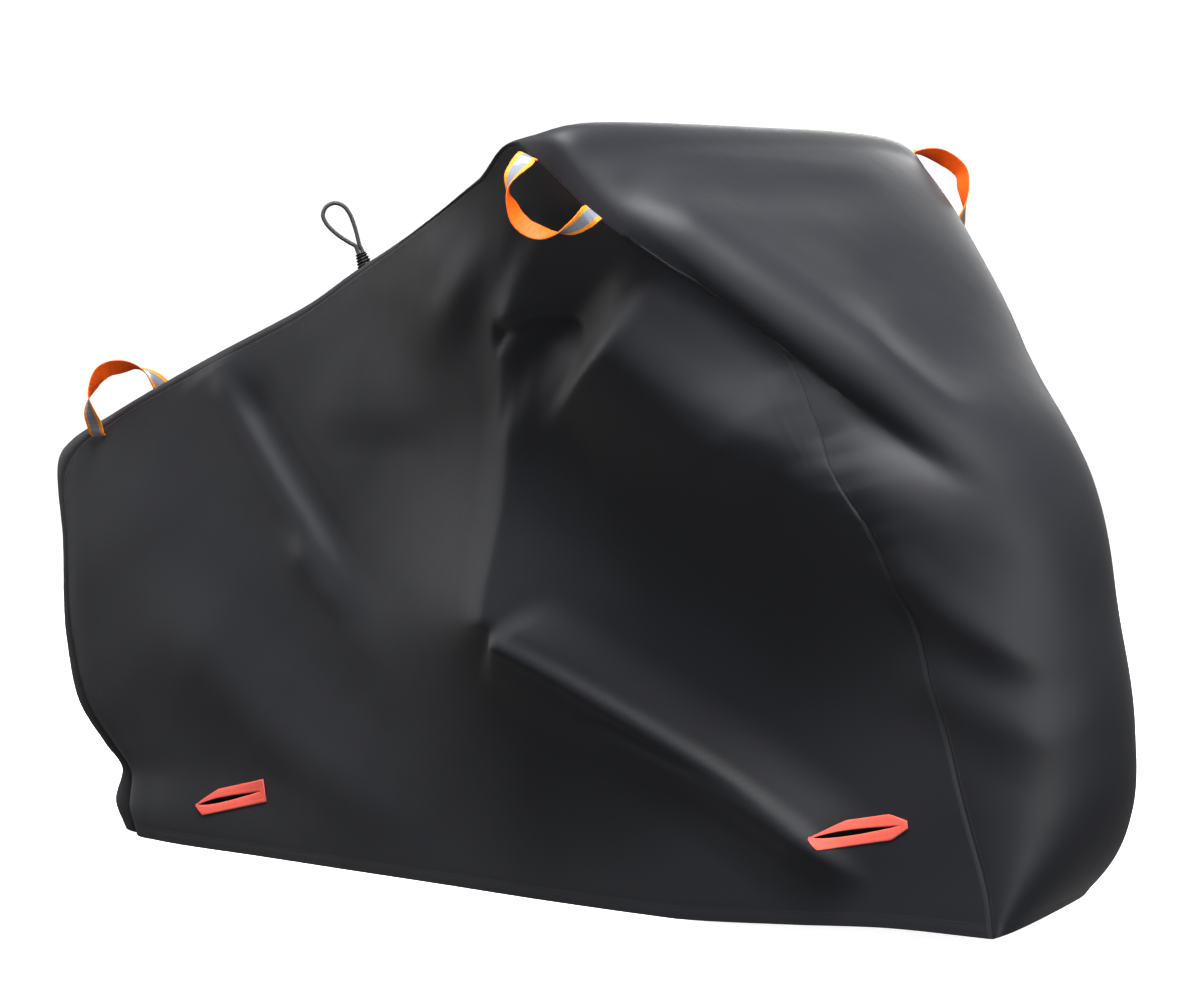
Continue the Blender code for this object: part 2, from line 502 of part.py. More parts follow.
def cord(top, axis, material):
    """Elastic cord: one loop out of the knot's top and back into it, in the front right quarter's
    plane of view."""
    right = np.array((math.cos(QUARTER), math.sin(QUARTER), 0.0))
    up = np.array((0.0, 0.0, 1.0))
    apart = unit(right - (right @ axis) * axis) * CORD * 0.52
    first = [top - apart + rise * axis for rise in (GAP, 0.004)]
    last = [top + apart + rise * axis for rise in (0.004, GAP)]
    middle = [top + across * right + height * up for across, height in CORD_ROUTE]
    points = np.array(first + middle + last)
    knots = lengths(points)
    points = spline(knots, points, np.linspace(0.0, knots[-1], int(knots[-1] / (0.9 * CORD))))
    curve = bpy.data.curves.new("elastic_cord", "CURVE")
    curve.dimensions = "3D"
    curve.bevel_depth = CORD / 2
    curve.bevel_resolution = 2
    curve.use_fill_caps = True
    run = curve.splines.new("POLY")
    run.points.add(len(points) - 1)
    for point, place in zip(run.points, points):
        point.co = (*place, 1.0)
    curve.materials.append(material)
    thing = bpy.data.objects.new("elastic_cord", curve)
    bpy.context.collection.objects.link(thing)
    return thing


# ---- build --------------------------------------------------------------------------------------
for old in list(bpy.data.objects):
    bpy.data.objects.remove(old, do_unlink=True)

cloth = finish("coated polyester", (0.052, 0.052, 0.060), 0.45)
webbing = finish("orange webbing", (1.000, 0.235, 0.040), 0.70)
trim = finish("coral binding", (1.000, 0.130, 0.090), 0.60)
rubber = finish("elastic cord", (0.045, 0.045, 0.050), 0.75)
wrap = finish("cord wrapping", (0.010, 0.010, 0.012), 0.60)

(right, centre, left), (right_n, centre_n, left_n) = cover(*PANEL_CELLS, CENTRE_CELLS)
border = seam_indices(*PANEL_CELLS)
pull_seam(right, right_n, border, 1)
pull_seam(left, left_n, border, -1)
pull_seam(centre, centre_n, (slice(None), 0), -1)
pull_seam(centre, centre_n, (slice(None), CENTRE_CELLS), 1)
right_panel = panel("right_panel", right, right_n, False, cloth)
centre_panel = panel("centre_panel", centre, centre_n, False, cloth)
left_panel = panel("left_panel", left, left_n, True, cloth)

whole = outer_tree((right_panel, centre_panel, left_panel))
for slot_name, slot_row in SLOTS.items():
    slot(slot_name, slot_row, right_panel, whole, trim)
for loop_name, loop_row in LOOPS.items():
    loop(loop_name, loop_row, whole, webbing)
_, knot_top, knot_axis = knot(whole, wrap)
cord(knot_top, knot_axis, rubber)

# The overall box, without the cord and its knot, stands with its middle over the origin.
made = [thing for thing in bpy.data.objects if thing.name not in ("elastic_cord", "cord_knot")]
places = np.array([vertex.co for thing in made for vertex in thing.data.vertices])
middle = (places.min(axis=0) + places.max(axis=0)) / 2
for thing in bpy.data.objects:
    thing.data.transform(Matrix.Translation((-middle[0], -middle[1], 0.0)))
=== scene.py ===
"""Bicycle cover as it hangs over a bicycle that is left out: three cloth panels with sewn seams and
hem, webbing grab loops, bound lock slots and an elastic cord loop, on a pale studio floor.

Metres, +Z up, +X towards the front wheel, -Y the right-hand side.
"""
import math

import bpy
import numpy as np
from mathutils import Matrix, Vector
from mathutils.bvhtree import BVHTree


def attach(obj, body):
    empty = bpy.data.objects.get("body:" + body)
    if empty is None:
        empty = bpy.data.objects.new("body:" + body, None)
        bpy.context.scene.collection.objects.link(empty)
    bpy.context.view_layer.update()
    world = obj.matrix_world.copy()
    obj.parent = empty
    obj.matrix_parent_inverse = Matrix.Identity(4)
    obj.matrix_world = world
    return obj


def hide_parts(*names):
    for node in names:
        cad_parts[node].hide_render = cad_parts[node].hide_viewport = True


bl_info = {
    "name": "Bicycle cover",
    "version": (1, 0, 0),
    "blender": (4, 5, 0),
    "location": "View3D > Sidebar > Cover",
    "description": "A draped cloth bicycle cover, its sewn-on pieces and a studio",
    "category": "Add Mesh",
}

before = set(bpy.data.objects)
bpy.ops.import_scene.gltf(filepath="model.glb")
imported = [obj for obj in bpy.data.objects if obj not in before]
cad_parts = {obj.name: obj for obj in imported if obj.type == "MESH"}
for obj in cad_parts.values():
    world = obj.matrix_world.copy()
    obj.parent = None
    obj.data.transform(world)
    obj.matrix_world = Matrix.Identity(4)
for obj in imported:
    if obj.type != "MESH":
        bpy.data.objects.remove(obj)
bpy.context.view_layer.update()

# ---- sizes --------------------------------------------------------------------------------------
MOVED = np.array((0.01002, -0.00488, 0.0))  # puts the middle of the solids' box over the origin
SIDE_CELLS = (310, 140)      # even cells of a side panel, along and up
CENTRE_CELLS = 40            # cells across the centre panel
EDGE_ROWS = (0.0016, 0.0040, 0.0075, 0.0125, 0.0190)  # extra rows beside an edge, shares of the way
QUARTER = math.radians(41.0) # the front right quarter, from which the right-hand folds are seen
VIEW_RIGHT = np.array((math.cos(QUARTER), math.sin(QUARTER), 0.0))  # ways seen from that quarter
VIEW_AWAY = np.array((-math.sin(QUARTER), math.cos(QUARTER), 0.0))
UP = np.array((0.0, 0.0, 1.0))
GAP = 0.0004                 # between the two panels of a seam
STRIP_GAP = 0.0005           # between a sewn-on strip and the cloth
SLIT = (0.88, 0.0076)        # a slit's share of its binding's length, and its greatest height
SLOT_POINTS = 96
KNOT = (0.0125, 0.0085, 0.022, 5, 0.0024)  # wrapped knot: foot and top radius, height, turns, rib
KNOT_PLACE = (-0.306, -0.057)  # x and y of the knot, in front of the saddle, before the move
HEM_DEPTH = 0.018            # of the turned-up hem's stitching above its edge
HEM_PRESS = (0.0005, 0.004)  # depth and half width of the line that this stitching presses in
SEAM_STITCH = 0.0055         # of the seams' top stitching from the seam
THREAD = 0.0006              # thickness of a stitch
STITCH_SHARE = 0.72          # of its pitch that a seam's or the hem's stitch takes up
BINDING_STITCH = (0.0032, 0.0024)  # pitch and length of the bindings' stitches
BINDING_WIDTH = 0.012        # of the tape, for its pattern

# Centre panel, from the rear hem over the top to the front hem. Each section has its right-hand
# seam, its left-hand seam, its middle line, and how square it is between them.
CENTRE = (
    # section       right: x      w      z   left: x      w      z  middle: x      z  square
    ("rear hem",     -0.796,  0.054,  0.000,  -0.796,  0.054,  0.000,  -0.852,  0.004,  2.2),
    ("hem flap",     -0.812,  0.054,  0.036,  -0.812,  0.054,  0.036,  -0.876,  0.042,  2.2),
    ("hem notch",    -0.818,  0.046,  0.092,  -0.818,  0.046,  0.092,  -0.864,  0.096,  2.2),
    ("over notch",   -0.852,  0.046,  0.128,  -0.852,  0.046,  0.128,  -0.900,  0.128,  2.2),
    ("tail foot",    -0.912,  0.046,  0.190,  -0.912,  0.046,  0.190,  -0.958,  0.190,  2.2),
    ("tail low",     -0.948,  0.044,  0.290,  -0.948,  0.044,  0.290,  -0.986,  0.290,  2.2),
    ("tail high",    -0.956,  0.042,  0.440,  -0.956,  0.042,  0.440,  -0.986,  0.440,  2.2),
    ("tail top",     -0.962,  0.042,  0.555,  -0.962,  0.042,  0.555,  -1.000,  0.577,  2.3),
    ("tail corner",  -0.932,  0.044,  0.586,  -0.932,  0.044,  0.586,  -0.970,  0.600,  2.4),
    ("tail deck",    -0.860,  0.046,  0.626,  -0.860,  0.046,  0.626,  -0.880,  0.640,  2.4),
    ("rack",         -0.620,  0.050,  0.728,  -0.620,  0.050,  0.728,  -0.630,  0.745,  2.4),
    ("saddle back",  -0.420,  0.062,  0.805,  -0.420,  0.062,  0.805,  -0.425,  0.822,  2.6),
    ("saddle",       -0.330,  0.078,  0.846,  -0.330,  0.078,  0.846,  -0.335,  0.862,  2.8),
    ("behind bar",   -0.100,  0.180,  0.917,  -0.100,  0.180,  0.915,  -0.110,  0.925,  3.0),
    ("rear deck",     0.140,  0.298,  0.993,   0.140,  0.298,  0.983,   0.110,  0.996,  3.0),
    ("grip",          0.302,  0.384,  1.035,   0.295,  0.384,  1.016,   0.285,  1.054,  4.5),
    ("bar end",       0.340,  0.386,  1.008,   0.340,  0.386,  0.990,   0.345,  1.070,  5.5),
    ("bar front",     0.398,  0.362,  0.952,   0.402,  0.375,  0.954,   0.405,  1.043,  3.6),
    ("front deck",    0.523,  0.302,  0.852,   0.530,  0.309,  0.878,   0.535,  0.936,  2.7),
    ("deck end",      0.628,  0.236,  0.748,   0.636,  0.234,  0.772,   0.706,  0.788,  2.4),
    ("wheel top",     0.678,  0.192,  0.643,   0.678,  0.182,  0.655,   0.849,  0.674,  2.4),
    ("wheel brow",    0.737,  0.170,  0.521,   0.735,  0.160,  0.525,   0.925,  0.574,  2.2),
    ("wheel front",   0.782,  0.156,  0.385,   0.780,  0.150,  0.385,   0.961,  0.425,  2.1),
    ("wheel nose",    0.822,  0.151,  0.265,   0.816,  0.151,  0.265,   0.984,  0.285,  2.1),
    ("wheel foot",    0.862,  0.151,  0.152,   0.840,  0.148,  0.152,   0.978,  0.165,  2.2),
    ("hem turn",      0.893,  0.155,  0.070,   0.852,  0.134,  0.080,   0.942,  0.088,  2.4),
    ("front hem",     0.905,  0.160,  0.018,   0.845,  0.120,  0.040,   0.900,  0.036,  2.6),
)
TAIL_TOP = [row[0] for row in CENTRE].index("tail top")
GRIP = [row[0] for row in CENTRE].index("grip")

# Hem of the side panels between their corners, which the centre panel gives.
HEM = (
    # place            x  half w      z
    ("flap",        -0.770,  0.078,  0.000),
    ("rear wheel",  -0.700,  0.098,  0.000),
    ("chain stay",  -0.450,  0.124,  0.000),
    ("pedals",      -0.100,  0.158,  0.000),
    ("frame",        0.200,  0.188,  0.000),
    ("down tube",    0.400,  0.198,  0.000),
    ("front wheel",  0.600,  0.188,  0.010),
    ("lift",         0.740,  0.174,  0.018),
)

# Folds, as seen square on from the front right quarter (right and centre panel) or from the rear
# left one (left and centre panel): a straight fold from start to end, across and height, bowed
# sideways by "bow". It stands out by "out" (a trough is negative) and falls to nothing at "left" and
# "right" of the way from start to end. Its line is sharp from 0, round, to 1, creased. "in" and
# "fade" are the shares of its length over which it rises at the start and dies away at the end.
RIGHT_FOLDS = {
    # fold              start: across, z  end: across, z     bow   left  right     out sharp   in  fade
    "pedal push":      (-0.013, 0.385,  0.005, 0.365,  0.000, 0.300, 0.340,  0.068, 0.60, 0.00, 0.00),
    "grip crest":      (-0.030, 1.000, -0.013, 0.390,  0.000, 0.100, 0.240,  0.030, 0.90, 0.30, 0.00),
    "pedal ridge":     (-0.013, 0.374,  0.435, 0.075, -0.006, 0.080, 0.100,  0.024, 0.40, 0.06, 0.20),
    "frame hollow":    ( 0.200, 0.640,  0.460, 0.120,  0.000, 0.260, 0.280, -0.024, 0.00, 0.35, 0.40),
    "seam groove":     ( 0.075, 0.955,  0.600, 0.575, -0.020, 0.060, 0.060, -0.022, 0.20, 0.25, 0.35),
    "pocket ridge":    ( 0.060, 0.860,  0.560, 0.480, -0.030, 0.110, 0.260,  0.056, 0.00, 0.14, 0.40),
    "pocket shelf":    ( 0.100, 0.820,  0.370, 0.650, -0.010, 0.090, 0.200,  0.034, 0.00, 0.10, 0.30),
    "under bar":       ( 0.060, 1.010,  0.470, 0.985,  0.000, 0.030, 0.050, -0.006, 0.00, 0.20, 0.20),
    "deck band":       ( 0.100, 0.975,  0.560, 0.700, -0.008, 0.100, 0.090,  0.014, 0.10, 0.20, 0.30),
    "deck hollow":     ( 0.380, 0.890,  0.600, 0.735,  0.000, 0.120, 0.080, -0.010, 0.10, 0.30, 0.30),
    "wheel ridge":     ( 0.420, 0.525,  0.700, 0.340, -0.015, 0.090, 0.050,  0.012, 0.50, 0.25, 0.45),
    "wheel soft fold": ( 0.440, 0.385,  0.715, 0.250, -0.010, 0.080, 0.070,  0.007, 0.20, 0.25, 0.35),
    "rear flank fold": (-0.515, 0.730, -0.235, 0.330, -0.010, 0.060, 0.080,  0.007, 0.40, 0.05, 0.45),
    "rear flank dip":  (-0.475, 0.725, -0.200, 0.330, -0.012, 0.060, 0.040, -0.009, 0.20, 0.18, 0.45),
    "rear short fold": (-0.400, 0.500, -0.240, 0.270,  0.000, 0.040, 0.060,  0.006, 0.50, 0.30, 0.40),
    "saddle edge":     (-0.380, 0.668, -0.110, 0.682,  0.000, 0.140, 0.070,  0.006, 0.10, 0.40, 0.40),
    "grip to saddle":  (-0.080, 0.950, -0.185, 0.720,  0.012, 0.050, 0.120,  0.010, 0.30, 0.40, 0.50),
    "rear wheel fall": (-0.620, 0.430, -0.130, 0.050, -0.050, 0.110, 0.120,  0.012, 0.10, 0.30, 0.35),
    "rear wheel":      (-0.640, 0.430, -0.560, 0.320,  0.000, 0.200, 0.200,  0.010, 0.00, 0.00, 0.00),
}
LEFT_FOLDS = {
    # fold              start: across, z  end: across, z     bow   left  right     out sharp   in  fade
    "pedal push":      (-0.095, 0.280, -0.070, 0.260,  0.000, 0.360, 0.360,  0.090, 0.40, 0.00, 0.00),
    "grip crest":      (-0.440, 0.950, -0.120, 0.310,  0.020, 0.120, 0.120,  0.028, 0.60, 0.25, 0.05),
    "pedal ridge":     (-0.075, 0.270,  0.430, 0.085,  0.012, 0.080, 0.060,  0.026, 0.80, 0.05, 0.25),
    "frame hollow":    (-0.480, 0.560, -0.360, 0.340,  0.000, 0.180, 0.180, -0.028, 0.00, 0.00, 0.00),
    "rear flank fold": ( 0.330, 0.620,  0.080, 0.330, -0.015, 0.060, 0.050,  0.020, 0.60, 0.15, 0.25),
    "saddle fall":     ( 0.170, 0.780,  0.000, 0.480,  0.012, 0.070, 0.060,  0.018, 0.50, 0.15, 0.30),
    "wheel ridge":     (-0.600, 0.560, -0.560, 0.220, -0.015, 0.060, 0.060,  0.018, 0.50, 0.20, 0.30),
    "tail fall":       ( 0.610, 0.440,  0.380, 0.120,  0.020, 0.080, 0.070,  0.018, 0.30, 0.20, 0.25),
}

# Lock slots in the right-hand panel, near its hem: the binding's middle, size, turn and blunt end.
SLOTS = {
    #                 x      z   length  height  turn deg  blunt end
    "rear_slot":  (-0.536, 0.080, 0.158, 0.034,   13.0,    1.00),
    "front_slot": ( 0.700, 0.142, 0.138, 0.034,   11.0,    0.30),
}

# Grab loops' straps, from one sewn-on end to the other: the middle line, across, up and behind in
# the front right quarter's view, and the way of the strap's width, across, up and to the viewer.
LOOPS = {
    "right_loop": (
        (-0.0217, 1.0301, -0.4990,   0.74, -0.60,  0.34),
        (-0.0284, 1.0217, -0.5060,   0.75, -0.46,  0.44),
        (-0.0360, 1.0125, -0.5150,   0.72, -0.28,  0.62),
        (-0.0434, 0.9993, -0.5290,   0.40, -0.20,  0.89),
        (-0.0475, 0.9835, -0.5370,   0.05,  0.00,  1.00),
        (-0.0440, 0.9684, -0.5420,  -0.32, -0.20,  0.93),
        (-0.0334, 0.9432, -0.5490,  -0.36, -0.62,  0.70),
        (-0.0236, 0.9338, -0.5520,  -0.34, -0.63,  0.70),
        (-0.0089, 0.9276, -0.5540,  -0.30, -0.61,  0.73),
        ( 0.0039, 0.9260, -0.5540,  -0.18, -0.40,  0.90),
        ( 0.0157, 0.9266, -0.5540,   0.00, -0.06,  1.00),
        ( 0.0288, 0.9299, -0.5540,  -0.26,  0.34,  0.90),
        ( 0.0413, 0.9358, -0.5530,  -0.46,  0.55,  0.70),
        ( 0.0531, 0.9449, -0.5500,  -0.68,  0.60,  0.42),
        ( 0.0630, 0.9538, -0.5434,  -0.76,  0.60, -0.25),
    ),
    "left_loop": (
        ( 0.4829, 1.0098,  0.0914,  -0.50,  0.49, -0.71),
        ( 0.4911, 1.0212,  0.0850,  -0.46,  0.36, -0.81),
        ( 0.5035, 1.0305,  0.0780,  -0.36,  0.10, -0.93),
        ( 0.5214, 1.0345,  0.0680,  -0.26, -0.03, -0.97),
        ( 0.5422, 1.0347,  0.0580,  -0.38, -0.30, -0.88),
        ( 0.5636, 1.0291,  0.0470,  -0.49, -0.47, -0.73),
        ( 0.5806, 1.0181,  0.0360,  -0.47, -0.47, -0.75),
        ( 0.5884, 1.0089,  0.0290,  -0.47, -0.44, -0.76),
        ( 0.5909, 0.9916,  0.0170,  -0.52, -0.16, -0.84),
        ( 0.5926, 0.9760,  0.0060,  -0.30, -0.05, -0.95),
        ( 0.5926, 0.9632, -0.0030,  -0.05,  0.00, -1.00),
        ( 0.5907, 0.9505, -0.0120,   0.18, -0.26, -0.95),
        ( 0.5864, 0.9392, -0.0200,   0.34, -0.44, -0.83),
        ( 0.5794, 0.9286, -0.0280,   0.44, -0.50, -0.75),
        ( 0.5717, 0.9223, -0.0355,   0.50, -0.49, -0.71),
    ),
    "tail_loop": (
        (-0.7003, 0.6065,  0.5395,  -0.80, -0.41, -0.44),
        (-0.7046, 0.6252,  0.5350,  -0.80, -0.26, -0.54),
        (-0.7096, 0.6393,  0.5310,  -0.74, -0.07, -0.67),
        (-0.7117, 0.6524,  0.5300,  -0.46,  0.00, -0.89),
        (-0.7115, 0.6647,  0.5300,  -0.05,  0.00, -1.00),
        (-0.7058, 0.6815,  0.5310,   0.30, -0.26, -0.92),
        (-0.6919, 0.7032,  0.5350,   0.22, -0.80, -0.55),
        (-0.6799, 0.7096,  0.5400,   0.17, -0.76, -0.63),
        (-0.6653, 0.7114,  0.5460,   0.13, -0.70, -0.70),
        (-0.6495, 0.7105,  0.5530,   0.08, -0.44, -0.90),
        (-0.6358, 0.7076,  0.5600,   0.00, -0.05, -1.00),
        (-0.6252, 0.7020,  0.5660,   0.26,  0.08, -0.96),
        (-0.6159, 0.6941,  0.5710,   0.50,  0.20, -0.84),
        (-0.6050, 0.6812,  0.5780,   0.76,  0.37, -0.53),
        (-0.5960, 0.6654,  0.5850,   0.80,  0.42, -0.42),
    ),
}

# Elastic cord loop: its route from one end to the other, across the front right quarter's view and
# up from the middle of the knot's top.
CORD_ROUTE = (
    (-0.0066, 0.0090), (-0.0160, 0.0150), (-0.0280, 0.0225), (-0.0400, 0.0320), (-0.0500, 0.0430),
    (-0.0548, 0.0548), (-0.0500, 0.0668), (-0.0372, 0.0725), (-0.0252, 0.0685), (-0.0163, 0.0577),
    (-0.0105, 0.0440), (-0.0065, 0.0310), (-0.0035, 0.0190), (-0.0012, 0.0100),
)

# Creases and small folds that only the visible cloth has, in the same columns.
RIGHT_CREASES = {
    # fold                start: across, z  end: across, z     bow   left  right     out sharp   in  fade
    "crest line":        (-0.037, 0.940, -0.013, 0.395,  0.000, 0.040, 0.050,  0.007, 0.60, 0.25, 0.00),
    "upper crease":      (-0.011, 0.368,  0.440, 0.076, -0.006, 0.016, 0.018,  0.009, 0.60, 0.06, 0.30),
    "between creases":   ( 0.040, 0.272,  0.385, 0.098,  0.002, 0.022, 0.022, -0.004, 0.20, 0.20, 0.20),
    "lower crease":      ( 0.040, 0.268,  0.440, 0.062,  0.008, 0.016, 0.035,  0.010, 0.60, 0.20, 0.20),
    "seam groove":       ( 0.085, 0.945,  0.600, 0.575, -0.018, 0.022, 0.022, -0.007, 0.20, 0.15, 0.30),
    "deck band":         ( 0.101, 0.975,  0.558, 0.700, -0.010, 0.050, 0.050,  0.005, 0.20, 0.20, 0.30),
    "deck hollow":       ( 0.430, 0.820,  0.600, 0.715,  0.000, 0.060, 0.050, -0.008, 0.10, 0.30, 0.30),
    "bar roll":          ( 0.030, 1.035,  0.480, 1.025,  0.000, 0.020, 0.020, -0.003, 0.20, 0.10, 0.20),
    "pocket crease":     (-0.055, 0.790,  0.078, 0.782,  0.022, 0.012, 0.032, -0.011, 0.50, 0.10, 0.25),
    "pocket roll":       (-0.050, 0.812,  0.060, 0.806,  0.022, 0.030, 0.014,  0.003, 0.30, 0.20, 0.40),
    "pocket stem":       (-0.020, 0.785, -0.035, 0.640,  0.006, 0.020, 0.015, -0.006, 0.40, 0.10, 0.50),
    "rear crease":       (-0.504, 0.718, -0.249, 0.355, -0.008, 0.025, 0.035,  0.005, 0.60, 0.10, 0.40),
    "rear crease dip":   (-0.478, 0.722, -0.235, 0.365, -0.008, 0.025, 0.020, -0.005, 0.30, 0.22, 0.40),
    "rear short crease": (-0.377, 0.480, -0.290, 0.350,  0.000, 0.022, 0.030,  0.005, 0.50, 0.30, 0.40),
    "grip fan 1":        (-0.060, 0.960, -0.150, 0.760,  0.006, 0.030, 0.040,  0.004, 0.30, 0.40, 0.50),
    "grip fan 2":        (-0.020, 0.960, -0.055, 0.820,  0.004, 0.018, 0.018, -0.004, 0.30, 0.10, 0.50),
    "rear wheel fall":   (-0.563, 0.360, -0.161, 0.064, -0.045, 0.050, 0.060,  0.003, 0.20, 0.30, 0.35),
    "wheel crease":      ( 0.420, 0.520,  0.690, 0.345, -0.018, 0.050, 0.028,  0.005, 0.40, 0.25, 0.40),
    "wheel soft crease": ( 0.450, 0.370,  0.715, 0.265, -0.012, 0.040, 0.040,  0.003, 0.30, 0.25, 0.40),
    "seam shoulder":     ( 0.440, 0.560,  0.505, 0.450,  0.000, 0.020, 0.020,  0.004, 0.40, 0.20, 0.40),
}
LEFT_CREASES = {
    # fold            start: across, z  end: across, z     bow   left  right     out sharp   in  fade
    "crest line":    (-0.440, 0.930, -0.130, 0.320,  0.020, 0.050, 0.050,  0.006, 0.60, 0.10, 0.05),
    "pedal crease":  (-0.080, 0.265,  0.425, 0.088,  0.012, 0.030, 0.030,  0.008, 0.60, 0.05, 0.30),
    "rear crease":   ( 0.330, 0.610,  0.090, 0.340, -0.012, 0.030, 0.030,  0.006, 0.50, 0.10, 0.30),
    "saddle crease": ( 0.160, 0.770,  0.010, 0.500,  0.010, 0.040, 0.030,  0.006, 0.50, 0.10, 0.30),
    "wheel crease":  (-0.600, 0.540, -0.560, 0.240, -0.012, 0.030, 0.030,  0.006, 0.50, 0.15, 0.30),
}

CREASE_ROUND = 0.006         # radius to which the sharpest crease is rounded
FACING = 0.3                 # a fold is whole where the cloth faces its quarter by this cosine

# Slack: wave length, direction towards the front and up, phase, and share of the height.
SLACK = (
    (0.310, 0.80, 0.60, 0.4, 1.0),
    (0.230, -0.55, 0.83, 1.7, 0.9),
    (0.170, 0.95, -0.30, 2.9, 0.6),
    (0.120, 0.35, 0.94, 4.1, 0.4),
    (0.085, -0.80, 0.60, 5.3, 0.2),
)

# Seam groove: its depth on the ridge and the tail and how much more it has over the front wheel,
# its half width, and where along the seam it gets deeper and over what length.
SEAM_GROOVE = (0.0003, 0.0024, 0.0032, 2.50, 0.12)
# Puckers: height on the ridge and the tail, two wave lengths, how much more there is over the front
# wheel, where that is along the seam, over what length, and how far they reach.
PUCKER = (0.00012, 0.034, 0.021, 8.0, 2.66, 0.20, 0.028)

# Each panel's cut: width, length and area, in metres and square metres.
RIGHT_CUT = (1.15, 2.00, 1.45)
LEFT_CUT = (1.15, 2.00, 1.45)
CENTRE_CUT = (0.80, 3.60, 1.10)

# Lights: name, place across the view, behind the object and up, width, length and power.
LIGHTS = (
    ("side_light", -3.51, 2.03, 1.64, 2.4, 1.8, 24.0),
    ("key_light", -3.11, 0.83, 3.25, 2.4, 1.8, 20.0),
    ("top_light", -0.20, -1.20, 4.40, 2.4, 1.8, 430.0),
    ("fill_light", 2.00, -3.90, 0.95, 2.4, 1.4, 115.0),
    ("rim_light", 3.92, -1.05, 2.00, 2.4, 1.8, 10.0),
    ("back_light", 1.50, 5.00, 2.60, 2.4, 1.8, 170.0),
)
LIGHT_AIM = (0.0, 0.0, 0.55)  # the point that every light is turned to
# Studio air: the way to its bright side, and how bright the dark and the bright side are.
SKY_WAY = (0.0, 0.0, 1.0)
SKY = (0.163, 0.178)

# Camera: lens and sensor in millimetres, how far it is aside, in front and up, and its tilt down.
CAMERA_LENS = (147.3, 36.0)
CAMERA_PLACE = (0.0727, 7.0, 0.98)
CAMERA_TILT = 0.061
# Paper: radius of the floor, of the bend between floor and wall, height of the wall, and how far the
# floor lies below the hem.
PAPER = (24.0, 4.0, 20.0, 0.0005)
PAPER_SIDES = 64

# Blender's wave texture at scale 1 repeats over this length, so a pattern's scale is this over its
# own length in metres.
WAVE = 2 * math.pi / 20


# ---- curves and grids ---------------------------------------------------------------------------
def lengths(points):
    """Distance along a polyline at each of its points, starting at 0."""
    return np.concatenate(([0.0], np.cumsum(np.linalg.norm(np.diff(points, axis=0), axis=1))))


def spline(knots, values, where):
    """Smooth curve through the values: a cubic between knots, whose slope at a knot is the mean of
    the slopes beside it, weighted towards the shorter side."""
    knots, values = np.asarray(knots, float), np.asarray(values, float)
    step = np.diff(knots)
    slope = np.diff(values, axis=0) / step[:, None]
    both = (step[:-1] + step[1:])[:, None]
    inner = (slope[:-1] * step[1:, None] + slope[1:] * step[:-1, None]) / both
    tangent = np.concatenate((slope[:1], inner, slope[-1:]))
    i = np.clip(np.searchsorted(knots, where, side="right") - 1, 0, len(step) - 1)
    h = step[i][:, None]
    t = (np.asarray(where) - knots[i])[:, None] / h
    return (values[i] * (1 + 2 * t) * (1 - t) ** 2 + tangent[i] * h * t * (1 - t) ** 2
            + values[i + 1] * t * t * (3 - 2 * t) + tangent[i + 1] * h * t * t * (t - 1))


def smooth(t):
    """0 to 1 with level ends."""
    t = np.clip(t, 0.0, 1.0)
    return t * t * (3 - 2 * t)


def unit(vectors):
    """Vectors of length 1."""
    return vectors / np.maximum(np.linalg.norm(vectors, axis=-1, keepdims=True), 1e-12)


def grid_normals(points):
    """Normals of a grid: cross product of its two central differences."""
    return unit(np.cross(np.gradient(points, axis=0), np.gradient(points, axis=1)))


# ---- the cover's surface ------------------------------------------------------------------------
def centre_sections(us, vs):
    """The centre panel's sections in three runs: tail seam, ridge, front seam. us are the places
    along the ridge and vs those up a seam, both from 0 to 1."""
    rows = np.array([row[1:] for row in CENTRE])
    knots = lengths(rows[:, :3])
    tail, grip, front = knots[TAIL_TOP], knots[GRIP], knots[-1]
    runs = (tail * vs, tail + (grip - tail) * us[1:], grip + (front - grip) * (1 - vs[::-1])[1:])
    return spline(knots, rows, np.concatenate(runs)).T[:, :, None]


def centre_surface(us, vs, across):
    """Each section is a squared half ellipse from seam to seam that passes through the middle line:
    its rise at share s of the half width is (1 - s^n)^(1/n)."""
    right_x, right_w, right_z, left_x, left_w, left_z, mid_x, mid_z, n = centre_sections(us, vs)
    share = np.sin(np.linspace(-0.5 * math.pi, 0.5 * math.pi, across + 1))[None, :]
    rise = (1 - np.abs(share) ** n) ** (1 / n)
    t = (share + 1) / 2
    chord_x = right_x + (left_x - right_x) * t
    chord_z = right_z + (left_z - right_z) * t
    return np.stack((chord_x + (mid_x - (right_x + left_x) / 2) * rise,
                     -right_w + (left_w + right_w) * t,
                     chord_z + (mid_z - (right_z + left_z) / 2) * rise), axis=-1)


def side_surface(border, us, vs, hand):
    """A side panel hangs straight from the ridge to the hem. Near its tail and front seams it bends
    to meet them: their distance from those straight lines is added, and dies away as the cube of the
    way to the opposite seam."""
    along, up = len(us) - 1, len(vs) - 1
    tail, ridge, front = border[:up + 1], border[up:up + along + 1], border[up + along:][::-1]
    hem = np.array([(x, hand * half, z) for _, x, half, z in HEM])
    hem = np.concatenate((tail[:1], hem, front[:1]))
    knots = lengths(hem)
    low = spline(knots, hem, knots[-1] * us)
    u = us[:, None, None]
    v = vs[None, :, None]
    straight = (1 - v) * low[:, None] + v * ridge[:, None]
    return straight + (1 - u) ** 3 * (tail - straight[0]) + u ** 3 * (front - straight[-1])


def seam_indices(along, up):
    """Grid indices of a side panel's tail, ridge and front borders, in the centre panel's order."""
    i = np.concatenate((np.zeros(up + 1, int), np.arange(1, along + 1), np.full(up, along)))
    j = np.concatenate((np.arange(up + 1), np.full(along, up), np.arange(up - 1, -1, -1)))
    return i, j


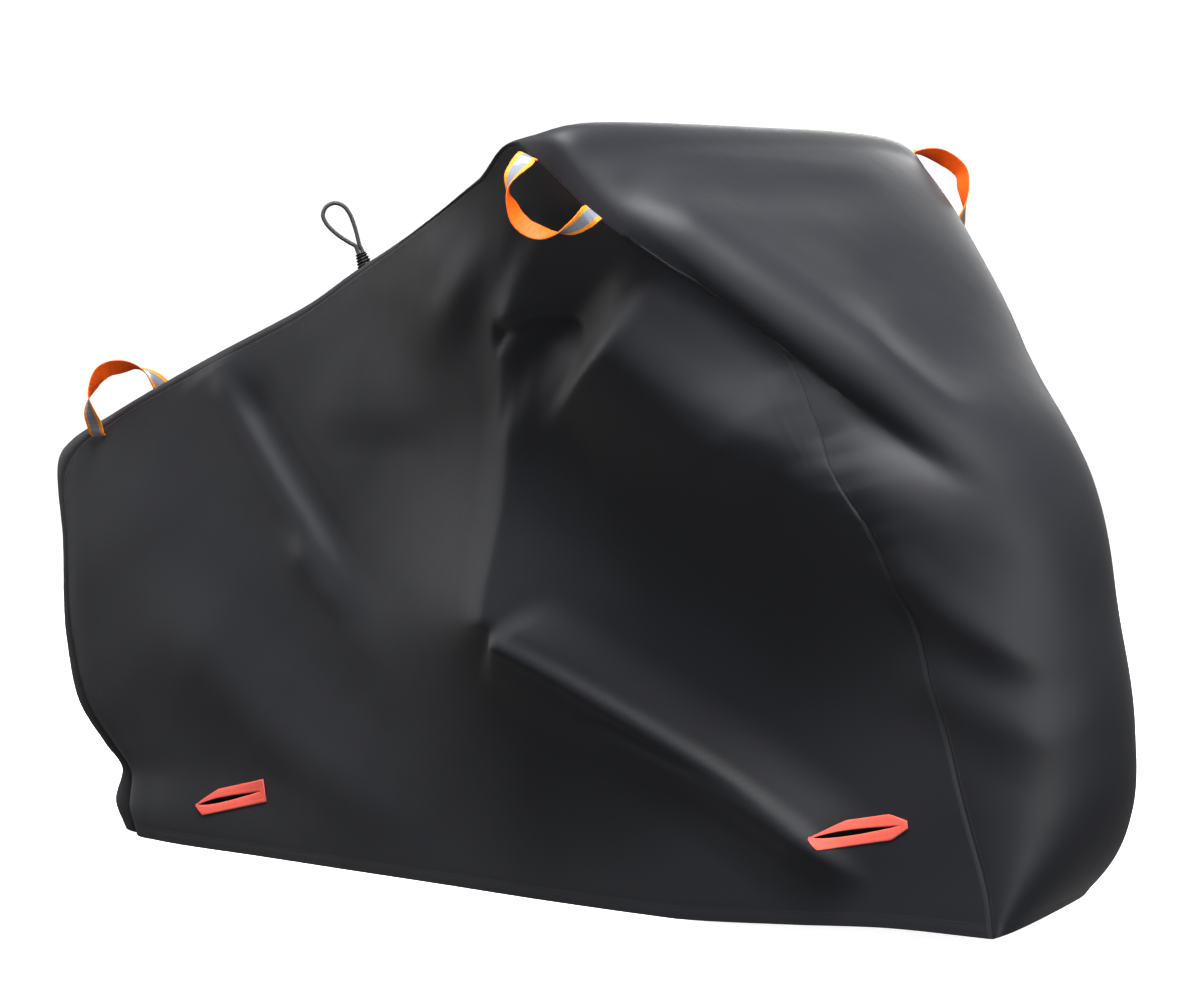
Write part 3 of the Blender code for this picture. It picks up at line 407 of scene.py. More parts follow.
def shared_normals(right, centre, left):
    """Outward normals of the three grids. Along a seam both panels get their normals' mean."""
    normals = [grid_normals(right), grid_normals(centre), -grid_normals(left)]
    seam = seam_indices(right.shape[0] - 1, right.shape[1] - 1)
    for side, column in ((0, 0), (2, -1)):
        mean = unit(normals[side][seam] + normals[1][:, column])
        normals[side][seam] = mean
        normals[1][:, column] = mean
    return normals


def relief(points, normals, folds, quarter):
    """How far the folds stand out at each point. A fold falls from its line to its foot as the cube
    smoothstep of the distance (round) or its square (creased), and only shows on cloth that faces
    the quarter it is seen from."""
    across = points[..., 0] * math.cos(quarter) + points[..., 1] * math.sin(quarter)
    towards = normals[..., 0] * math.sin(quarter) - normals[..., 1] * math.cos(quarter)
    facing = smooth(towards / FACING)
    total = np.zeros(across.shape)
    for x0, z0, x1, z1, bow, left, right, out, sharp, rise, fade in folds.values():
        span = math.hypot(x1 - x0, z1 - z0)
        tx, tz = (x1 - x0) / span, (z1 - z0) / span
        s = np.clip(((across - x0) * tx + (points[..., 2] - z0) * tz) / span, 0.0, 1.0)
        bend = 4 * bow * s * (1 - s)
        dx = across - x0 - tx * span * s + tz * bend
        dz = points[..., 2] - z0 - tz * span * s - tx * bend
        away = np.maximum(np.hypot(dx, dz), 1e-9)
        reach = (left + right) / 2 + (left - right) / 2 * (dz * tx - dx * tz) / away
        share = np.clip(1 - (np.hypot(away, CREASE_ROUND) - CREASE_ROUND) / reach, 0.0, 1.0)
        shape = (1 - sharp) * smooth(share) + sharp * share ** 2
        ends = smooth(s / rise if rise else 1.0) * smooth((1 - s) / fade if fade else 1.0)
        total += out * shape * ends
    return total * facing


def cover(us, vs, across):
    """The three panels' outer surfaces as grids with their outward normals, folds included."""
    centre = centre_surface(us, vs, across)
    right = side_surface(centre[:, 0], us, vs, -1)
    left = side_surface(centre[:, -1], us, vs, 1)
    panels = [right, centre, left]
    normals = shared_normals(*panels)
    for points, normal in zip(panels, normals):
        push = sum(relief(points, normal, folds, quarter) for folds, quarter in (
            (RIGHT_FOLDS, QUARTER), (RIGHT_CREASES, QUARTER),
            (LEFT_FOLDS, QUARTER + math.pi), (LEFT_CREASES, QUARTER + math.pi)))
        points += push[..., None] * normal
        points[..., 2] = np.maximum(points[..., 2], 0.0)
    return panels, shared_normals(*panels)


def edge_effect(across, run, hem):
    """How far the cloth lies below its smooth surface beside a seam, at a distance from it and a
    place along it: a narrow groove along the seam itself, and puckers, two sine waves of unlike
    length that die away a few centimetres from it. Over the wheel the seam is puckered most. The
    hem's stitching presses a faint line into the cloth."""
    least, more, half, start, over = SEAM_GROOVE
    groove = (least + more * smooth((run - start) / over)) * np.exp(-(across / half) ** 2)
    strength = PUCKER[0] * (1 + PUCKER[3] * np.exp(-((run - PUCKER[4]) / PUCKER[5]) ** 2))
    wave = np.sin(2 * math.pi * run / PUCKER[1]) + 0.6 * np.sin(2 * math.pi * run / PUCKER[2] + 1.0)
    pucker = strength * wave * np.exp(-across / PUCKER[6])
    stitched = HEM_PRESS[0] * np.exp(-((hem - HEM_DEPTH) / HEM_PRESS[1]) ** 2)
    return groove - pucker + stitched


def slack_waves(points, height):
    """Soft unevenness of loose cloth: the sum of sine waves that run in different directions, each
    with its own length, a few centimetres to a hand's breadth."""
    total = np.zeros(points.shape[:2])
    for length, east, up, phase, share in SLACK:
        way = points[..., 0] * east + points[..., 2] * up + points[..., 1] * 0.6 * east
        bend = 0.7 * np.sin(2 * math.pi * points[..., 2] / (2.7 * length) + 2 * phase)
        total += share * np.sin(2 * math.pi * way / length + phase + bend)
    return height * total


def run_lengths(grid, axis):
    """Distance along the grid lines of one axis from their first points."""
    step = np.linalg.norm(np.diff(grid, axis=axis), axis=-1)
    run = np.cumsum(step, axis=axis)
    start = np.zeros_like(np.take(run, [0], axis=axis))
    return np.concatenate((start, run), axis=axis)


def seam_distances(grid, seam_run, along, up):
    """For each point of a side grid: the distance to the nearest of its three seams along the grid
    lines, how far along the whole seam that is, and the height above the hem."""
    ways = run_lengths(grid, 0)
    rise = run_lengths(grid, 1)
    i, j = np.meshgrid(np.arange(along + 1), np.arange(up + 1), indexing="ij")
    distances = np.stack((ways, rise[:, -1:] - rise, ways[-1:] - ways))
    runs = np.stack((seam_run[j], seam_run[up + i], seam_run[2 * up + along - j]))
    nearest = np.argmin(distances, axis=0)[None]
    distance, run = [np.take_along_axis(kind, nearest, 0)[0] for kind in (distances, runs)]
    return distance, run, rise


def visible_cover():
    """The visible cloth's three grids and their normals: the draped surface with its folds and
    creases, then the slack, seams and hem."""
    even = [np.linspace(0.0, 1.0, cells + 1) for cells in SIDE_CELLS]
    near = np.array(EDGE_ROWS)
    us, vs = [np.unique(np.concatenate((share, near, 1 - near))) for share in even]
    along, up = len(us) - 1, len(vs) - 1
    panels, normals = cover(us, vs, CENTRE_CELLS)
    height = settings().slack
    seam = seam_indices(along, up)
    for side, column in ((0, 0), (2, -1)):
        run = lengths(panels[1][:, column])
        distance, place, hem = seam_distances(panels[side], run, along, up)
        drop = edge_effect(distance, place, hem)
        panels[side] += (slack_waves(panels[side], height) - drop)[..., None] * normals[side]
    centre = panels[1]
    width = run_lengths(centre, 1)
    right_run, left_run = lengths(centre[:, 0])[:, None], lengths(centre[:, -1])[:, None]
    total = lengths(centre[:, CENTRE_CELLS // 2])
    hem = np.minimum(total, total[-1] - total)[:, None]
    to_right, to_left = width, width[:, -1:] - width
    drop = np.where(to_right < to_left, edge_effect(to_right, right_run, hem),
                    edge_effect(to_left, left_run, hem))
    panels[1] = centre + (slack_waves(centre, height) - drop)[..., None] * normals[1]
    for side, column in ((0, 0), (2, -1)):
        panels[side][seam] = panels[1][:, column]
    normals = shared_normals(*panels)
    pull_seam(panels[0], normals[0], seam, 1)
    pull_seam(panels[2], normals[2], seam, -1)
    pull_seam(panels[1], normals[1], (slice(None), 0), -1)
    pull_seam(panels[1], normals[1], (slice(None), -1), 1)
    for grid in panels:
        grid[..., 2] = np.maximum(grid[..., 2], 0.0)
    return panels, normals


def pull_seam(points, normals, where, sign):
    """Move a seam's points half a gap away from it, towards this panel."""
    seam = points[where]
    outward = unit(np.cross(np.gradient(seam, axis=0), normals[where]))
    points[where] = seam + sign * GAP / 2 * outward


# ---- sewn-on pieces -----------------------------------------------------------------------------
def slot_outlines(x, z, length, height, turn_deg, blunt):
    """A slot's binding and its slit as two outlines in x and z. From a tip at the left both rise and
    then run level, the binding's lower edge soonest. Its right end is cut off as far as it is
    blunt, and the slit closes at both ends like a half sine wave."""
    phi = (np.arange(SLOT_POINTS) + 0.5) * 2 * math.pi / SLOT_POINTS
    share = (1 - np.cos(phi)) / 2
    side = np.where(phi < math.pi, 1.0, -1.0)
    hump = np.sin(math.pi * share ** 0.65)
    steep = np.where(side > 0, 2.4, 7.0)
    full = np.minimum(1.0, steep * share ** 0.8)
    full = full * (blunt + (1 - blunt) * np.minimum(1.0, 5.0 * (1 - share)))
    rim = (share - 0.5) * length, side * height / 2 * np.maximum(full, 0.12)
    slit = (share - 0.52) * length * SLIT[0], side * SLIT[1] / 2 * np.maximum(hump, 0.06)
    turn = math.radians(turn_deg)
    return [np.stack((x + MOVED[0] + along * math.cos(turn) - across * math.sin(turn),
                      z + along * math.sin(turn) + across * math.cos(turn)), axis=-1)
            for along, across in (rim, slit)]


def cut_slit(panel, outline):
    """Cut a slit through the right-hand cloth with a straight prism of its outline."""
    count = len(outline)
    near, far = [np.insert(outline, 1, depth, axis=1) for depth in (-0.5, -0.02)]
    number = np.arange(count)
    after = np.roll(number, -1)
    walls = np.stack((number, after, after + count, number + count), -1)
    faces = [walls, [number[::-1]], [number + count]]
    cutter = piece("slit_cutter", np.concatenate((near, far)), faces, [])
    boolean = panel.modifiers.new("slit", "BOOLEAN")
    boolean.operation = "DIFFERENCE"
    boolean.solver = "EXACT"
    boolean.object = cutter
    graph = bpy.context.evaluated_depsgraph_get()
    mesh = bpy.data.meshes.new_from_object(panel.evaluated_get(graph))
    panel.modifiers.remove(boolean)
    panel.data = mesh
    bpy.data.objects.remove(cutter, do_unlink=True)


def slot_binding(name, row, below, tape, thread):
    """A slot's binding: a ring laid on the cloth around the slit. Across, its section goes from the
    outer edge to the slit with rounded edges; along, it follows the two outlines. Its stitching
    runs along the ring's middle."""
    rim, slit = slot_outlines(*row)
    thickness = settings().binding_thickness
    section = np.array([(0.00, 0.0), (0.00, 0.6), (0.05, 0.95), (0.20, 1.0), (0.50, 0.92),
                        (0.80, 1.0), (0.95, 0.95), (1.00, 0.6), (1.00, 0.0), (0.50, 0.0)])
    flat = rim[:, None] + section[None, :, :1] * (slit - rim)[:, None]
    laid = np.array([[lay(below, px, pz) for px, pz in ring] for ring in flat])
    between = (laid[:, -1] + np.roll(laid[:, -1], -1, 0)) / 2
    close = min(clearance(below, place)[0] for place in between)
    laid[..., 1] -= STRIP_GAP - min(close, 0.0) + section[None, :, 1] * thickness
    rows, columns = len(laid), len(section)
    quads = grid_quads(rows + 1, columns, around=True) % (rows * columns)
    uv_along = np.repeat(lengths(np.concatenate((rim, rim[:1])))[:-1], columns)
    uv = np.stack((uv_along, np.tile(section[:, 0], rows) * BINDING_WIDTH), -1)
    binding = piece(name + "_tape", laid.reshape(-1, 3), [quads[:, ::-1]], [tape], uv=uv)
    path = np.concatenate((laid[:, 4], laid[:1, 4]))
    up = np.tile((0.0, -1.0, 0.0), (len(path), 1))
    points, faces = stitches(path, up, *BINDING_STITCH)
    return binding, piece(name + "_stitches", points, [faces], [thread])


def grab_loop(name, rows, below, materials):
    """A grab loop's strap: a flat section with rounded edges carried along a smooth curve through
    its table's points. Its ends are laid flat on the cloth, and the rest is pushed clear of it by
    the shortage of the closest of five points across it, four times over, then evened once."""
    sizes = settings()
    rows = np.array(rows)
    line = rows[:, :3] @ np.stack((VIEW_RIGHT, UP, VIEW_AWAY)) + MOVED
    wide = rows[:, 3:] @ np.stack((VIEW_RIGHT, UP, -VIEW_AWAY))
    for k in (0, -1):
        _, normal = clearance(below, line[k])
        wide[k] = unit(wide[k] - (wide[k] @ normal) * normal)
    knots = lengths(line)
    where = np.linspace(0.0, knots[-1], 6 * len(rows))
    line, wide = spline(knots, line, where), spline(knots, wide, where)
    half, thick = sizes.webbing_width / 2, sizes.webbing_thickness / 2
    need = STRIP_GAP + thick
    for _ in range(4):
        tangent = unit(np.gradient(line, axis=0))
        wide = unit(wide - (wide * tangent).sum(axis=-1, keepdims=True) * tangent)
        moves = np.zeros(len(line))
        ways = np.zeros_like(line)
        for k, point in enumerate(line):
            found = [clearance(below, point + side * half * wide[k])
                     for side in np.linspace(-1.0, 1.0, 5)]
            low, ways[k] = min(found, key=lambda pair: pair[0])
            moves[k] = need - low if low < need or k in (0, len(line) - 1) else 0.0
        line = line + moves[:, None] * ways
    line[1:-1] = line[1:-1] + 0.25 * (line[:-2] - 2 * line[1:-1] + line[2:])
    tangent = unit(np.gradient(line, axis=0))
    wide = unit(wide - (wide * tangent).sum(axis=-1, keepdims=True) * tangent)
    front = np.cross(tangent, wide)
    section = np.array([(-0.97, -1.0), (-0.5, -1.0), (0.0, -1.0), (0.5, -1.0), (0.97, -1.0),
                        (1.0, 0.0), (0.97, 1.0), (0.5, 1.0), (0.0, 1.0), (-0.5, 1.0),
                        (-0.97, 1.0), (-1.0, 0.0)])
    points = (line[:, None] + half * section[None, :, :1] * wide[:, None]
              + thick * section[None, :, 1:] * front[:, None])
    count, columns = len(line), len(section)
    quads = grid_quads(count, columns, around=True)[:, ::-1]
    striped = np.tile(np.isin(np.arange(columns), (5, 6, 7, 8, 9, 10)), count - 1)
    faces = [quads, [np.arange(columns)[::-1]], [(count - 1) * columns + np.arange(columns)]]
    uv = np.stack((np.repeat(lengths(line), columns), np.tile(section[:, 0] / 2 + 0.5, count)), -1)
    return piece(name + "_strap", points.reshape(-1, 3), faces, materials, uv=uv,
                 which=np.concatenate((striped, (0, 0))))


def wrapped_knot(below, material):
    """The wrapped knot: a cone turned about the ridge's normal, with a rib for each turn of the
    winding that climbs as a screw does. Returned with the middle of its top and its axis."""
    base, top, height, turns, rib = KNOT
    above = Vector((KNOT_PLACE[0] + MOVED[0], KNOT_PLACE[1] + MOVED[1], 2.0))
    hit, axis, _, _ = below.ray_cast(above, Vector((0.0, 0.0, -1.0)))
    axis = np.array(axis)
    side = unit(np.cross(axis, (0.0, 1.0, 0.0)))
    other = np.cross(axis, side)
    sides, rings = 48, 16 * turns + 1
    around = np.arange(sides) * 2 * math.pi / sides
    spoke = np.cos(around)[:, None] * side + np.sin(around)[:, None] * other
    foot = np.array(hit)
    foot = foot + (GAP + max(-clearance(below, foot + base * way)[0] for way in spoke[::4])) * axis
    share = np.linspace(0.0, 1.0, rings)
    screw = smooth(6 * share * (1 - share))[:, None]
    climb = turns * share[:, None] - around[None, :] / (2 * math.pi) * screw
    radius = (base + (top - base) * share)[:, None] - rib * np.cos(math.pi * climb) ** 2
    points = foot + height * share[:, None, None] * axis + radius[..., None] * spoke[None]
    faces = [grid_quads(rings, sides, around=True)[:, ::-1], [np.arange(sides)[::-1]],
             [(rings - 1) * sides + np.arange(sides)]]
    return piece("wound_knot", points.reshape(-1, 3), faces, [material]), foot + height * axis, axis


def cord_route(top, axis, diameter):
    """Points along the cord's middle: out of the knot's top, round the loop that the route's table
    gives in the front right quarter's plane of view, and back into the top."""
    apart = unit(VIEW_RIGHT - (VIEW_RIGHT @ axis) * axis) * diameter * 0.52
    first = [top - apart + rise * axis for rise in (GAP, 0.004)]
    last = [top + apart + rise * axis for rise in (0.004, GAP)]
    middle = [top + across * VIEW_RIGHT + rise * UP for across, rise in CORD_ROUTE]
    points = np.array(first + middle + last)
    knots = lengths(points)
    return spline(knots, points, np.linspace(0.0, knots[-1], 90))


def across_from(grid, axis, last):
    """A grid's lines as they start from one of its borders, the first or last of an axis."""
    lines = np.flip(grid, axis) if last else grid
    return lines.swapaxes(0, 1) if axis == 0 else lines


def stitch_lines(pitch):
    """Stitches beside the seams, on the side panels and the centre panel, and above the hem. Each
    row lies at an even distance from a border: panel, axis and whether it is the axis's last."""
    plan = {
        "right_seam_stitches": (SEAM_STITCH,
                                ((0, 0, False), (0, 1, True), (0, 0, True), (1, 1, False))),
        "left_seam_stitches": (SEAM_STITCH,
                               ((2, 0, False), (2, 1, True), (2, 0, True), (1, 1, True))),
        "hem_stitches": (HEM_DEPTH,
                         ((0, 1, False), (2, 1, False), (1, 0, False), (1, 0, True)))}
    lots = {}
    for name, (distance, borders) in plan.items():
        lots[name] = []
        for panel, axis, last in borders:
            lines, lift = [across_from(cloth()[kind][panel], axis, last)
                           for kind in ("grids", "normals")]
            lots[name].append(stitches(inset(lines, distance), lift[:, 2], pitch,
                                       STITCH_SHARE * pitch))
    return lots


# ---- colours and meshes -------------------------------------------------------------------------
def linear(hex_colour):
    """sRGB hex, such as "#404044", to the linear colour that a shader takes."""
    value = np.array([int(hex_colour[k:k + 2], 16) for k in (1, 3, 5)]) / 255
    value = np.where(value <= 0.04045, value / 12.92, ((value + 0.055) / 1.055) ** 2.4)
    return (*value.tolist(), 1.0)


def shade(colour, factor):
    """A hex colour's linear value, lightened or darkened by a factor."""
    return (*[min(1.0, channel * factor) for channel in linear(colour)[:3]], 1.0)


def grid_quads(rows, columns, first=0, around=False):
    """Corner numbers of a grid's quads, in the order along x across. around closes the columns."""
    wide = columns if around else columns - 1
    i, j = np.meshgrid(np.arange(rows - 1), np.arange(wide), indexing="ij")
    here, ahead, beside = i * columns, (i + 1) * columns, (j + 1) % columns
    quads = np.stack((here + j, ahead + j, ahead + beside, here + beside), -1)
    return first + quads.reshape(-1, 4)


def piece(name, points, faces, materials, uv=None, which=None, sharp_deg=50.0):
    """Mesh object at the origin. faces are arrays of corner numbers, uv is a pair for each point
    and which is each face's material."""
    mesh = bpy.data.meshes.new(name)
    corners = [face for group in faces for face in np.asarray(group).tolist()]
    mesh.from_pydata(points.tolist(), [], corners)
    for material in materials:
        mesh.materials.append(material)
    if which is not None:
        mesh.polygons.foreach_set("material_index", np.asarray(which, dtype=np.int32))
    if uv is not None:
        point = np.empty(len(mesh.loops), dtype=np.int32)
        mesh.loops.foreach_get("vertex_index", point)
        layer = mesh.uv_layers.new(name="UVMap")
        layer.uv.foreach_set("vector", np.asarray(uv, dtype=np.float32)[point].ravel())
    mesh.update()
    mesh.shade_smooth()
    mesh.set_sharp_from_angle(angle=math.radians(sharp_deg))
    thing = bpy.data.objects.new(name, mesh)
    bpy.context.scene.collection.objects.link(thing)
    return thing


def turned(name, radius, height, material):
    """A profile of radii and heights turned once round the upright axis, as a grid of quads."""
    around = np.arange(PAPER_SIDES) * 2 * math.pi / PAPER_SIDES
    points = np.stack((radius[:, None] * np.cos(around), radius[:, None] * np.sin(around),
                       height[:, None] + np.zeros(PAPER_SIDES)), -1)
    quads = grid_quads(len(radius), PAPER_SIDES, around=True)
    return piece(name, points.reshape(-1, 3), [quads], [material])


def sheet_faces(rows, columns, flip):
    """A closed sheet's quads: the outer grid, the inner one turned over and the rim between."""
    outer = grid_quads(rows, columns)
    inner = outer[:, ::-1] + rows * columns
    number = np.arange(rows * columns).reshape(rows, columns)
    rim = np.concatenate((number[:, 0], number[-1, 1:], number[-2::-1, -1], number[0, -2:0:-1]))
    after = np.roll(rim, -1)
    wall = np.stack((after, rim, rim + rows * columns, after + rows * columns), -1)
    faces = np.concatenate((outer, inner, wall))
    return faces[:, ::-1] if flip else faces


def grid_tree(grids):
    """Search tree over grids of points, each with whether its faces are turned over."""
    points, faces = [], []
    for grid, flip in grids:
        quads = grid_quads(grid.shape[0], grid.shape[1], len(points))
        faces += (quads[:, ::-1] if flip else quads).tolist()
        points += grid.reshape(-1, 3).tolist()
    return BVHTree.FromPolygons(points, faces)


def clearance(below, point):
    """Signed distance of a point from the cloth, and the cloth's outward normal there."""
    hit, normal, _, _ = below.find_nearest(Vector(point))
    normal = np.array(normal)
    return float((point - np.array(hit)) @ normal), normal


def lay(below, x, z):
    """The place on the right-hand cloth in front of x and z."""
    hit, _, _, _ = below.ray_cast(Vector((x, -1.0, z)), Vector((0.0, 1.0, 0.0)))
    return np.array(hit)


def inset(lines, distance):
    """The point at a distance along each of many polylines, held as one array: the segment where
    the running length passes it, and the share of that segment."""
    run = np.cumsum(np.linalg.norm(np.diff(lines, axis=1), axis=-1), axis=1)
    k = np.argmax(run > distance, axis=1)
    row = np.arange(len(lines))
    before = np.where(k > 0, run[row, k - 1], 0.0)
    share = ((distance - before) / (run[row, k] - before))[:, None]
    return lines[row, k] + share * (lines[row, k + 1] - lines[row, k])


def stitches(path, lift, pitch, length):
    """Points and faces of sewing stitches along a polyline: each is a long octahedron, one stitch
    length from tip to tip, with its ring of four points half a thread out, and a quarter of a
    thread above the cloth. lift is the cloth's normal at each point of the path."""
    run = lengths(path)
    where = np.arange(pitch, run[-1] - pitch, pitch)
    middle = np.stack([np.interp(where, run, path[:, k]) for k in range(3)], -1)
    ahead = np.stack([np.interp(where + 1e-4, run, path[:, k]) for k in range(3)], -1)
    up = unit(np.stack([np.interp(where, run, lift[:, k]) for k in range(3)], -1))
    along = unit(ahead - middle)
    side = np.cross(up, along)
    middle = middle + 0.25 * THREAD * up
    ring = [middle + 0.5 * THREAD * way for way in (side, up, -side, -up)]
    tips = [middle - 0.5 * length * along, middle + 0.5 * length * along]
    points = np.stack(tips + ring, 1).reshape(-1, 3)
    shape = np.array([(0, 2 + k, 2 + (k + 1) % 4) for k in range(4)]
                     + [(1, 2 + (k + 1) % 4, 2 + k) for k in range(4)])
    faces = (6 * np.arange(len(where))[:, None, None] + shape).reshape(-1, 3)
    return points, faces


def joined(parts):
    """Several lots of points and faces as one."""
    points, faces, first = [], [], 0
    for some, shapes in parts:
        points.append(some)
        faces.append(shapes + first)
        first += len(some)
    return np.concatenate(points), faces


# ---- materials ----------------------------------------------------------------------------------
def node(tree, kind, values=None, **options):
    """Add a shader node. options are its own settings; values are its sockets, by name or number,
    each a plain value or another node's output to link."""
    made = tree.nodes.new("ShaderNode" + kind)
    for name, value in options.items():
        setattr(made, name, value)
    for name, value in (values or {}).items():
        if isinstance(value, bpy.types.NodeSocket):
            tree.links.new(value, made.inputs[name])
        else:
            made.inputs[name].default_value = value
    return made


def blank(name, roughness, **values):
    """A material with its tree and its Principled shader, whose plain sockets are set here."""
    material = bpy.data.materials.new(name)
    material.use_nodes = True
    tree = material.node_tree
    shader = tree.nodes["Principled BSDF"]
    shader.inputs["Roughness"].default_value = roughness
    for socket, value in values.items():
        shader.inputs[socket.replace("_", " ")].default_value = value
    return material, tree, shader


def coated_polyester(colour):
    """Polyester taffeta with a polyurethane coat, calendered smooth: dark, with a broad satin
    gloss. The coat dulls in soft clouds a hand across. Its 0.3 mm threads are too fine for the
    render, so they are drawn as a 10 mm plain weave that barely shows."""
    material, tree, shader = blank("coated_polyester_taffeta", 0.56, IOR=1.47,
                                   Specular_IOR_Level=0.32, Sheen_Weight=0.06,
                                   Sheen_Roughness=0.45)
    place = node(tree, "TexCoord")
    cloud = node(tree, "TexNoise", {"Vector": place.outputs["Object"], "Scale": 6.5, "Detail": 3.0,
                                    "Roughness": 0.55})
    tint = node(tree, "Mix", {0: cloud.outputs["Fac"], 6: linear(colour), 7: shade(colour, 1.12)},
                data_type="RGBA")
    tree.links.new(tint.outputs[2], shader.inputs["Base Color"])
    dull = node(tree, "MapRange", {"Value": cloud.outputs["Fac"], "From Min": 0.3, "From Max": 0.7,
                                   "To Min": 0.54, "To Max": 0.58})
    tree.links.new(dull.outputs[0], shader.inputs["Roughness"])
    warp, weft = [node(tree, "TexWave", {"Vector": place.outputs["UV"], "Scale": WAVE / 0.010},
                       bands_direction=way) for way in ("X", "Y")]
    weave = node(tree, "Math", {0: warp.outputs["Fac"], 1: weft.outputs["Fac"]},
                 operation="MULTIPLY")
    slack = node(tree, "TexNoise", {"Vector": place.outputs["Object"], "Scale": 14.0,
                                    "Detail": 2.0})
    soft = node(tree, "Bump", {"Height": slack.outputs["Fac"], "Strength": 0.15, "Distance": 0.006})
    fine = node(tree, "Bump", {"Height": weave.outputs[0], "Normal": soft.outputs[0],
                               "Strength": 0.10, "Distance": 0.0002})
    tree.links.new(fine.outputs[0], shader.inputs["Normal"])
    return material


def polypropylene_webbing(name, colour, stripe=None, edge=None):
    """Woven polypropylene strap, matte, its 1.2 mm ribs drawn 7.5 mm apart so that they show. The UV
    map runs along it in metres and across it from 0 to 1. A stripe is reflective tape sewn along its
    middle: a silver film of glass beads, greyer and smoother than the strap, between bright edges.
    The tape reaches 0.28 of the strap's width from its middle."""
    material, tree, shader = blank(name, 0.62, IOR=1.49, Specular_IOR_Level=0.3)
    place = node(tree, "TexCoord")
    across = node(tree, "SeparateXYZ", {0: place.outputs["UV"]})
    ribs = node(tree, "TexWave", {"Vector": place.outputs["UV"], "Scale": WAVE / 0.0075},
                bands_direction="X")
    wear = node(tree, "TexNoise", {"Vector": place.outputs["Object"], "Scale": 180.0,
                                   "Detail": 3.0})
    base = node(tree, "Mix", {0: wear.outputs["Fac"], 6: shade(colour, 0.82),
                              7: shade(colour, 1.12)}, data_type="RGBA")
    last = base.outputs[2]
    if stripe:
        rim = node(tree, "Mix", {0: wear.outputs["Fac"], 6: shade(edge, 0.88), 7: shade(edge, 1.1)},
                   data_type="RGBA")
        middle = node(tree, "Math", {0: across.outputs["Y"], 1: 0.5}, operation="SUBTRACT")
        away = node(tree, "Math", {0: middle.outputs[0]}, operation="ABSOLUTE")
        film = node(tree, "MapRange", {"Value": away.outputs[0], "From Min": 0.27, "From Max": 0.29,
                                       "To Min": 1.0, "To Max": 0.0})
        mixed = node(tree, "Mix", {0: film.outputs[0], 6: rim.outputs[2], 7: linear(stripe)},
                     data_type="RGBA")
        last = mixed.outputs[2]
        smoother = node(tree, "MapRange", {"Value": film.outputs[0], "To Min": 0.62,
                                           "To Max": 0.34})
        tree.links.new(smoother.outputs[0], shader.inputs["Roughness"])
    tree.links.new(last, shader.inputs["Base Color"])
    bump = node(tree, "Bump", {"Height": ribs.outputs["Fac"], "Strength": 0.5, "Distance": 0.0003})
    tree.links.new(bump.outputs[0], shader.inputs["Normal"])
    return material


def polyester_tape(colour):
    """Twill binding tape of dyed polyester, matte and fuzzy. Its 1 mm ribs run across it, and are
    drawn 6.3 mm apart so that they show."""
    material, tree, shader = blank("polyester_binding_tape", 0.70, IOR=1.50, Specular_IOR_Level=0.3)
    place = node(tree, "TexCoord")
    ribs = node(tree, "TexWave", {"Vector": place.outputs["UV"], "Scale": WAVE / 0.0063},
                bands_direction="X")
    wear = node(tree, "TexNoise", {"Vector": place.outputs["Object"], "Scale": 220.0,
                                   "Detail": 2.0})
    tint = node(tree, "Mix", {0: wear.outputs["Fac"], 6: shade(colour, 0.85),
                              7: shade(colour, 1.15)}, data_type="RGBA")
    tree.links.new(tint.outputs[2], shader.inputs["Base Color"])
    bump = node(tree, "Bump", {"Height": ribs.outputs["Fac"], "Strength": 0.4, "Distance": 0.0002})
    tree.links.new(bump.outputs[0], shader.inputs["Normal"])
    return material


def braided_elastic(colour):
    """Braided sheath over a rubber core: matte dark yarn in 1.5 mm diamonds."""
    material, tree, shader = blank("braided_elastic", 0.66, IOR=1.50, Sheen_Weight=0.2)
    place = node(tree, "TexCoord")
    diamonds = node(tree, "TexChecker", {"Vector": place.outputs["Object"], "Scale": 1 / 0.0015,
                                         "Color1": shade(colour, 0.75),
                                         "Color2": shade(colour, 1.3)})
    tree.links.new(diamonds.outputs["Color"], shader.inputs["Base Color"])
    bump = node(tree, "Bump", {"Height": diamonds.outputs["Fac"], "Strength": 0.5,
                               "Distance": 0.0003})
    tree.links.new(bump.outputs[0], shader.inputs["Normal"])
    return material


def waxed_thread(name, colour):
    """Twisted polyester sewing thread with a wax finish and a low gloss. Its 0.4 mm twist is drawn
    as lines about 3 mm apart, because finer ones would not show."""
    material, tree, shader = blank(name, 0.5, IOR=1.50)
    place = node(tree, "TexCoord")
    twist = node(tree, "TexWave", {"Vector": place.outputs["Object"], "Scale": WAVE / 0.0025},
                 bands_direction="DIAGONAL")
    tint = node(tree, "Mix", {0: twist.outputs["Fac"], 6: shade(colour, 0.8),
                              7: shade(colour, 1.25)}, data_type="RGBA")
    tree.links.new(tint.outputs[2], shader.inputs["Base Color"])
    bump = node(tree, "Bump", {"Height": twist.outputs["Fac"], "Strength": 0.4, "Distance": 0.0002})
    tree.links.new(bump.outputs[0], shader.inputs["Normal"])
    return material


def studio_paper(colour):
    """Seamless background paper: matte and nearly white, with a faint tooth."""
    material, tree, shader = blank("studio_paper", 0.9)
    place = node(tree, "TexCoord")
    tooth = node(tree, "TexNoise", {"Vector": place.outputs["Object"], "Scale": 60.0,
                                    "Detail": 2.0})
    tint = node(tree, "Mix", {0: tooth.outputs["Fac"], 6: shade(colour, 0.985), 7: linear(colour)},
                data_type="RGBA")
    tree.links.new(tint.outputs[2], shader.inputs["Base Color"])
    tree.links.new(tint.outputs[2], shader.inputs["Emission Color"])
    shader.inputs["Emission Strength"].default_value = 1.0
    return material


